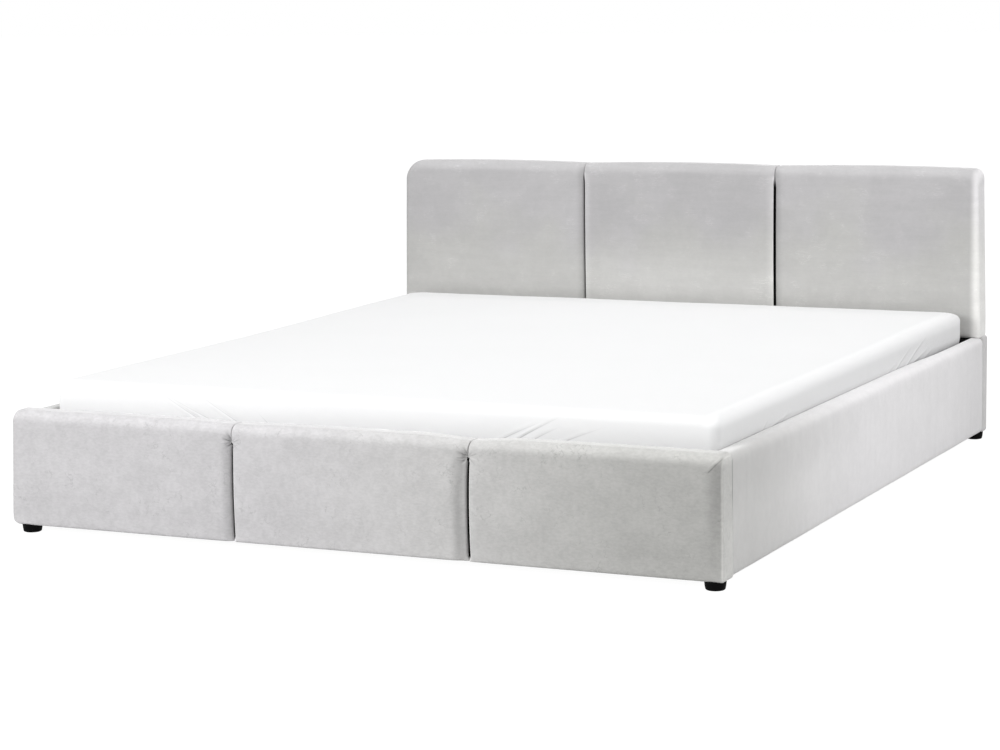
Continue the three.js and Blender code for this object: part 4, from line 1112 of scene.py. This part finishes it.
# %% Make the linings
LINING_EDGE, TOP_EDGE = 4 * MM, 36 * MM
low, high = span("footboard_board")
inside_low = (low[0] + LINING_EDGE, high[1] - LINING, low[2] + LINING_EDGE)
foot_lining = lining("footboard_lining", inside_low, (high[0] - LINING_EDGE, high[1], high[2] - TOP_EDGE),
                     rail_velvet)
settle(foot_lining, "footboard_board")
high[0] - low[0]
high[2] - low[2] - TOP_EDGE

BACK_MARGIN, STAPLE_STEP = 26 * MM, 72 * MM
WIDE_SLACK, NARROW_SLACK, PUCKER, PUCKER_REACH, EDGE_REACH = 1.2 * MM, 0.35 * MM, 0.5 * MM, 0.05, 0.12
low, high = span("headboard_board")
cloth_half = span("headboard_pad_right")[1][0] - BACK_MARGIN
cloth_levels = (low[2] + BACK_MARGIN, high[2] - BACK_MARGIN)
head_lining = lining("headboard_dust_cloth", (-cloth_half, high[1] - LINING, cloth_levels[0]),
                     (cloth_half, high[1], cloth_levels[1]), cloth_paint)


def billowed(points, normals):
    """Lets the cloth stand a little off the board, less near its edges, and pucker between the staples."""
    x, z = points[:, 0], points[:, 2]
    from_side, from_edge = cloth_half - abs(x), np.minimum(z - cloth_levels[0], cloth_levels[1] - z)
    inside = smooth_step(np.minimum(from_side, from_edge) / EDGE_REACH)
    slack = (1 + unevenness(points, 0.30)) * WIDE_SLACK + (1 + unevenness(points, 0.10)) * NARROW_SLACK
    puckers = ((1 - np.cos(2 * math.pi * x / STAPLE_STEP)) * fade(from_edge, PUCKER_REACH)
               + (1 - np.cos(2 * math.pi * z / STAPLE_STEP)) * fade(from_side, PUCKER_REACH))
    points[:, 1] += slack * inside + puckers * PUCKER
    return points


reshaped(head_lining, billowed)
settle(head_lining, "headboard_board")
cloth_levels[1] - cloth_levels[0]

# %% [markdown]
# ## Mattress and fitted sheet
# The sheet is pulled over the mattress and held by elastic under its hem. Between two places where the
# elastic holds, the slack runs up the side in slanting folds. Each fold here is a line on the side: a ridge
# with a shallow valley beside it, strongest near the hem and gone before the top edge.

# %% Shape a block with rolled top edges
BED_CORNER, TOP_CORNER, TOP_ROLL, MATTRESS_ROLL = 24 * MM, 44 * MM, 30 * MM, 8 * MM
CROWN, DRAW, HEAD_LIFT, HEAD_SPREAD = 5 * MM, 1 * MM, 9.5 * MM, 5.5 * MM
FOLD_FINE, CORNER_FINE = (0.10, 0.0032), (0.08, 0.0045)


def bed_block(low, high, bottom_roll, spots, coarse, wall_step):
    """A mattress shape: upright corners of one radius, a rolled top edge and a flat grid on top. It is open
    below where it has no bottom roll."""
    across, lengthwise = (stations(high[axis] - low[axis], coarse, [
        (place - low[axis], reach, fine) for place, reach, fine in spots[axis]]) for axis in (0, 1))
    profile = [(bottom_roll * (1 - math.sin(turn)), low[2] + bottom_roll * (1 - math.cos(turn)))
               for turn in np.linspace(0, math.pi / 2, 5)] if bottom_roll else []
    wall = (low[2] + bottom_roll, high[2] - TOP_ROLL)
    steps = max(2, round((wall[1] - wall[0]) / wall_step))
    profile += [(0.0, level) for level in np.linspace(*wall, steps + 1)[(1 if bottom_roll else 0):]]
    profile += [(TOP_ROLL * (1 - math.cos(turn)), high[2] - TOP_ROLL + TOP_ROLL * math.sin(turn))
                for turn in np.linspace(0, math.pi / 2, 11)[1:]]
    rings = []
    for inset, level in profile:
        if level > wall[1]:
            radius = BED_CORNER + (TOP_CORNER - BED_CORNER) * inset / TOP_ROLL
        else:
            radius = max(BED_CORNER - inset, 3 * MM)
        ring = section((low[0] + inset, low[1] + inset), (high[0] - inset, high[1] - inset), (radius,) * 4,
                       across / across[-1], lengthwise / lengthwise[-1])
        rings.append(np.column_stack([ring, np.full(len(ring), level)]))
    counts = (len(rings), len(across) - 1, len(lengthwise) - 1)
    return lofted((*counts, np.array(rings)), (bool(bottom_roll), True))


def drawn_in(points, low, high):
    """Draws the long sides of a block in a little. Returns how far across and along it each point lies,
    from -1 to 1."""
    across = 2 * (points[:, 0] - low[0]) / (high[0] - low[0]) - 1
    lengthwise = 2 * (points[:, 1] - low[1]) / (high[1] - low[1]) - 1
    points[:, 0] -= DRAW * across * (1 - np.clip(lengthwise**2, 0, 1))
    return across, lengthwise


def crowned(points, low, high):
    """Sinks the edges of the top below its middle, draws the long sides in and plumps up the head end."""
    across, lengthwise = drawn_in(points, low, high)
    on_top = np.clip((points[:, 2] - high[2] + TOP_ROLL) / TOP_ROLL, 0, 1) ** 2
    flatness = (1 - np.clip(abs(across), 0, 1) ** 4) * (1 - np.clip(abs(lengthwise), 0, 1) ** 4)
    points[:, 2] -= CROWN * on_top * (1 - flatness)
    toward_head = smooth_step((lengthwise + 0.2) / 1.1) * smooth_step((points[:, 2] - low[2] - 0.038) / 0.03)
    points[:, 2] += HEAD_LIFT * toward_head
    points[:, 0] += HEAD_SPREAD * np.clip(across, -1, 1) * toward_head
    return points


def ridge(forward, upward, start, end, height, width):
    """The height of one fold: a ridge from start to end with a valley beside it."""
    share, above = beside_line(forward, upward, start, end, BOW)
    strength = fade(np.clip(-share, 0, None), 0.12) * fade(np.clip(share, 0, None), 1.0)
    slant = width * (0.75 + 0.5 * np.clip(share, 0, 1))
    return height * strength * (0.5 * bell(above, slant) - 0.55 * bell(above / slant + 1.6, 1))


def fine_spots(folds, ends):
    """Where the sheet's grid is finer: along its folds and at its edges."""
    along_folds = [place for start, end, *_ in folds for place in (start[0], (start[0] + end[0]) / 2, end[0])]
    return [(place, *FOLD_FINE) for place in along_folds] + [(end, *CORNER_FINE) for end in ends]


# %% Make the sheet
SLACK, SHEET, SHEET_STEP, WALL_STEP = (6.5 * MM, 4 * MM, 0.0), 1.3 * MM, 18 * MM, 2.6 * MM
low, high = span("fitted_sheet")
low, high = low - SLACK, high + SLACK
sheet_spots = (fine_spots(foot_folds, (low[0], high[0])), fine_spots(side_folds, (low[1], high[1])))
vertices, faces = bed_block(low, high, 0.0, sheet_spots, SHEET_STEP, WALL_STEP)
bed_sheet = new_piece("bed_sheet", crowned(vertices, low, high), faces, cotton_paint)


def folded(points, normals):
    """Pushes the folds out of each side. The sides that the photograph hides have fewer."""
    lift = unevenness(points, 0.30) * 0.5 * MM + unevenness(points, 0.11) * 0.2 * MM
    for axis, direction, folds in ((0, -1, foot_folds), (1, 1, side_folds),
                                   (0, 1, foot_folds[1:4]), (1, -1, side_folds[2:])):
        facing = np.clip(normals[:, 1 - axis] * direction, 0, 1) ** 0.5
        for fold in folds:
            lift += facing * ridge(points[:, axis], points[:, 2], *fold)
    print(f"folds stand up to {lift.max() / MM:.1f} mm and sink {lift.min() / MM:.1f} mm")
    return points + normals * lift[:, None]


reshaped(bed_sheet, folded)
thickness = bed_sheet.modifiers.new("cloth", "SOLIDIFY")
thickness.thickness, thickness.offset = SHEET, -1.0
print("sheet", len(faces), "faces with", len(foot_folds) + len(side_folds), "folds on the seen sides")


# %% Run bands round the sheet and the mattress
def edge_ring(low, high, spacing):
    """Points and outward directions round the mattress or its sheet."""
    across, lengthwise = (np.linspace(0, 1, round((high[axis] - low[axis]) / spacing) + 1) for axis in (0, 1))
    ring = section(low[:2], high[:2], (BED_CORNER,) * 4, across, lengthwise)
    outward = ways_out(ring)
    drawn_in(ring, low, high)
    return ring, outward


def band(name, ring, outward, outlines, paint):
    """A closed band round a block. `outlines` gives, for each point of its section, its reach out of the
    outline and its level."""
    levels = [np.column_stack([ring + outward * np.reshape(reach, (-1, 1)), np.full(len(ring), level)])
              for reach, level in outlines]
    return new_piece(name, np.concatenate(levels), tube_faces(len(levels), len(ring), closed=True), paint)


# %% Make the hem, the mattress and its tape
HEM, HEM_STEP, GATHER = 12 * MM, 2.2 * MM, 8.5 * MM
TAPE, TAPE_STEP, TAPE_LEVEL, MATTRESS_STEP = 3.2 * MM, 8 * MM, 9 * MM, 30 * MM
ring, outward = edge_ring(low, high, HEM_STEP)
uneven_by = unevenness(np.column_stack([ring, ring[:, 0]]), 0.05) * 1.4
gathers = np.sin(np.arange(len(ring)) * HEM_STEP / GATHER * 2 * math.pi + uneven_by)
full, shallow = (0.9 + 0.7 * gathers) * MM, 0.2 * MM
hem = band("sheet_hem", ring, outward, [
    ((0.3 + 0.1 * gathers) * MM, low[2] + shallow), (full, low[2] + 0.2 * HEM), (full, low[2] + 0.8 * HEM),
    ((0.2 + 0.2 * gathers) * MM, low[2] + HEM), (-1 * MM, low[2] + HEM), (-1 * MM, low[2] + shallow)],
           cotton_paint)

low, high = span("mattress")
vertices, faces = bed_block(low, high - [0, 0, 1 * MM], MATTRESS_ROLL, ([], []), MATTRESS_STEP, SHEET_STEP)
bed_mattress = new_piece("foam_mattress", crowned(vertices, low, high), faces, ticking_paint)
tape = band("mattress_tape", *edge_ring(low, high, TAPE_STEP), [
    (TAPE * 0.6 * math.cos(turn), low[2] + TAPE_LEVEL + TAPE * math.sin(turn))
    for turn in np.linspace(0, 2 * math.pi, 9)[:-1]], ticking_paint)

settle(bed_sheet, "fitted_sheet", "lift_frame")
settle(hem, body="lift_frame")
settle(bed_mattress, "mattress", "lift_frame")
settle(tape, body="lift_frame")

# %% [markdown]
# ## Feet
# Turned or moulded feet are best made on a lathe: one profile, spun round an upright axis.


# %% Turn the feet
def spun(profile, place, outward=(0, 0, 1), sides=64):
    """Points of a profile turned round an axis. `profile` goes along it as (radius, rise)."""
    outward = Vector(outward)
    across = Vector((1, 0, 0)) if outward.z else outward.cross(Vector((0, 0, 1))).normalized()
    upward = Vector((0, 1, 0)) if outward.z else across.cross(outward)
    return [Vector(place) + (across * math.cos(turn) + upward * math.sin(turn)) * radius + outward * rise
            for radius, rise in profile for turn in np.linspace(0, 2 * math.pi, sides, endpoint=False)]


EDGE_ROUND, SLIMMER, FORWARD, RIGHT, LEFT = 5 * MM, 1.5 * MM, 5 * MM, 8 * MM, 2 * MM
for corner in ("front_left", "front_right", "rear_left", "rear_right"):
    low, high = span(f"foot_{corner}")
    center = ((low[0] + high[0]) / 2 + (-LEFT if corner.endswith("left") else RIGHT),
              (low[1] + high[1]) / 2 - (FORWARD if corner.startswith("front") else 0.0), 0.0)
    radius, height = (high[0] - low[0]) / 2 - SLIMMER, high[2]
    rounded = [(radius - 2 * MM - EDGE_ROUND * (1 - math.sin(t)), EDGE_ROUND * (1 - math.cos(t)))
               for t in np.linspace(0, math.pi / 2, 7)]
    profile = [(0.25 * radius, 0.0), (0.7 * radius, 0.0), *rounded, (radius - 1.0 * MM, 0.45 * height),
               (radius - 0.2 * MM, height - 4 * MM), (radius, height - 3.2 * MM), (radius, height)]
    foot = new_piece(f"glide_{corner}", spun(profile, center), tube_faces(len(profile), 64), plastic_paint)
    settle(foot, f"foot_{corner}")
print("four feet turned")

# %% [markdown]
# ## The working parts
# The steel, the slats and the storage box keep the shape they were made with. They get a finish by the name
# of their material, and a small bevel so that their edges catch light.

# %% Give the working parts their finish
paints = {"glide_plastic": plastic_paint, "pine": pine_paint, "floor_board": board_paint,
          "zinc_steel": zinc_paint, "painted_steel": coat_paint, "polished_steel": chrome_paint,
          "buffer_rubber": rubber_paint}
EDGE = {"pine": 1.6 * MM, "floor_board": 0.6 * MM, "painted_steel": 0.7 * MM, "zinc_steel": 0.5 * MM}
LEAST_EDGE, SHARPEST, JOINED = 0.4 * MM, math.radians(32), 0.02 * MM
for part in frame["record"]["subparts"]:
    paint = paints.get(part["material_slot"])
    if paint is None:
        continue
    node = nodes[part["node"]]
    if not node.data.materials:
        node.data.materials.append(paint)
    for place in node.material_slots:
        place.link, place.material = "OBJECT", paint
    node.modifiers.new("joined", "WELD").merge_threshold = JOINED
    edge = node.modifiers.new("edge", "BEVEL")
    edge.width, edge.segments = EDGE.get(part["material_slot"], LEAST_EDGE), 2
    edge.limit_method, edge.angle_limit, edge.harden_normals = "ANGLE", SHARPEST, False
print("finished", len([p for p in frame["record"]["subparts"] if p["material_slot"] in paints]), "working parts")

# %% [markdown]
# ## Fastenings
# The steel angles and the hinge plates are bolted to the rails with domed socket heads, and the black cloth
# is stapled to the back of the headboard all round. Each group is one mesh: the heads are turned from one
# short profile, and a staple is a flat wire bent down at both ends.

# %% Turn the bolt heads
BOLT, BOLT_HIGH, HEAD_SIDES = 6 * MM, 3 * MM, 28
HEAD_PROFILE = [(reach * BOLT, rise * BOLT_HIGH) for reach, rise in (
    (1.00, -0.10), (1.00, 0.25), (0.94, 0.55), (0.78, 0.82), (0.55, 1.00), (0.42, 1.00), (0.36, 0.94),
    (0.36, 0.35), (0.10, 0.30))]
ANGLE_STEEL, PLATE_STEEL = 4 * MM, 5 * MM
ANGLE_ARM, ANGLE_END, PLATE_EDGE = 32 * MM, 26 * MM, 14 * MM


def bolt_spots(side, sign):
    """Where the heads sit on one side of the bed, and the way that each one faces."""
    spots = []
    for end, inward in (("front", 1), ("rear", -1)):
        low, high = span(f"corner_bracket_{end}_{side}")
        wall, rail = (low[1] if inward > 0 else high[1]), (high[0] if sign > 0 else low[0])
        for level in (low[2] + ANGLE_END, high[2] - ANGLE_END):
            spots.append(((rail - sign * ANGLE_STEEL, wall + inward * ANGLE_ARM, level), (-sign, 0, 0)))
            spots.append(((rail - sign * ANGLE_ARM, wall + inward * ANGLE_STEEL, level), (0, inward, 0)))
    low, high = span(f"hinge_plate_{side}")
    rail = high[0] if sign > 0 else low[0]
    foot_row, head_row = low[1] + PLATE_EDGE, high[1] - PLATE_EDGE
    for place, level in ((foot_row, low[2] + 62 * MM), (head_row, low[2] + 62 * MM),
                         (head_row, high[2] - 70 * MM), (head_row, high[2] - 18 * MM)):
        spots.append(((rail - sign * PLATE_STEEL, place, level), (-sign, 0, 0)))
    return spots


for side, sign in (("left", -1), ("right", 1)):
    spots, vertices, faces = bolt_spots(side, sign), [], []
    for place, outward in spots:
        faces += tube_faces(len(HEAD_PROFILE), HEAD_SIDES, len(vertices))
        vertices += spun(HEAD_PROFILE, place, outward, HEAD_SIDES)
    heads = new_piece(f"bolt_heads_{side}", vertices, faces, zinc_paint)
    settle(heads)
    print(heads.name, len(spots), "heads")

# %% Staple the dust cloth
STAPLE = [(-5.6, -0.8), (-5.5, 0.3), (-5.0, 0.75), (5.0, 0.75), (5.5, 0.3), (5.6, -0.8)]
WIRE_WIDE, WIRE_THICK, STAPLE_INSET = 1.2 * MM, 0.6 * MM, 11 * MM


def staple(x, z, back, along_x):
    """The points of one flat staple on the back face."""
    points = []
    for run, rise in STAPLE:
        for shift, sunk in ((-0.5, 0), (0.5, 0), (0.5, -1), (-0.5, -1)):
            aside, out = shift * WIRE_WIDE, back + rise * MM + sunk * WIRE_THICK
            points.append((x + run * MM, out, z + aside) if along_x else (x + aside, out, z + run * MM))
    return points


back = span("headboard_board")[1][1]
reach_x, reach_z = cloth_half - STAPLE_INSET, (cloth_levels[0] + STAPLE_INSET, cloth_levels[1] - STAPLE_INSET)
row_x = np.arange(-round(reach_x // STAPLE_STEP), round(reach_x // STAPLE_STEP) + 1) * STAPLE_STEP
row_z = np.arange(math.ceil(reach_z[0] / STAPLE_STEP), math.floor(reach_z[1] / STAPLE_STEP) + 1) * STAPLE_STEP
vertices, faces = [], []
for x, z, along_x in ([(x, z, True) for x in row_x for z in reach_z]
                      + [(x, z, False) for z in row_z for x in (-reach_x, reach_x)]):
    faces += tube_faces(len(STAPLE), 4, len(vertices))
    vertices += staple(x, z, back, along_x)
stapled = new_piece("dust_cloth_staples", vertices, faces, zinc_paint, smooth=False)
settle(stapled)
print(2 * (len(row_x) + len(row_z)), "staples")
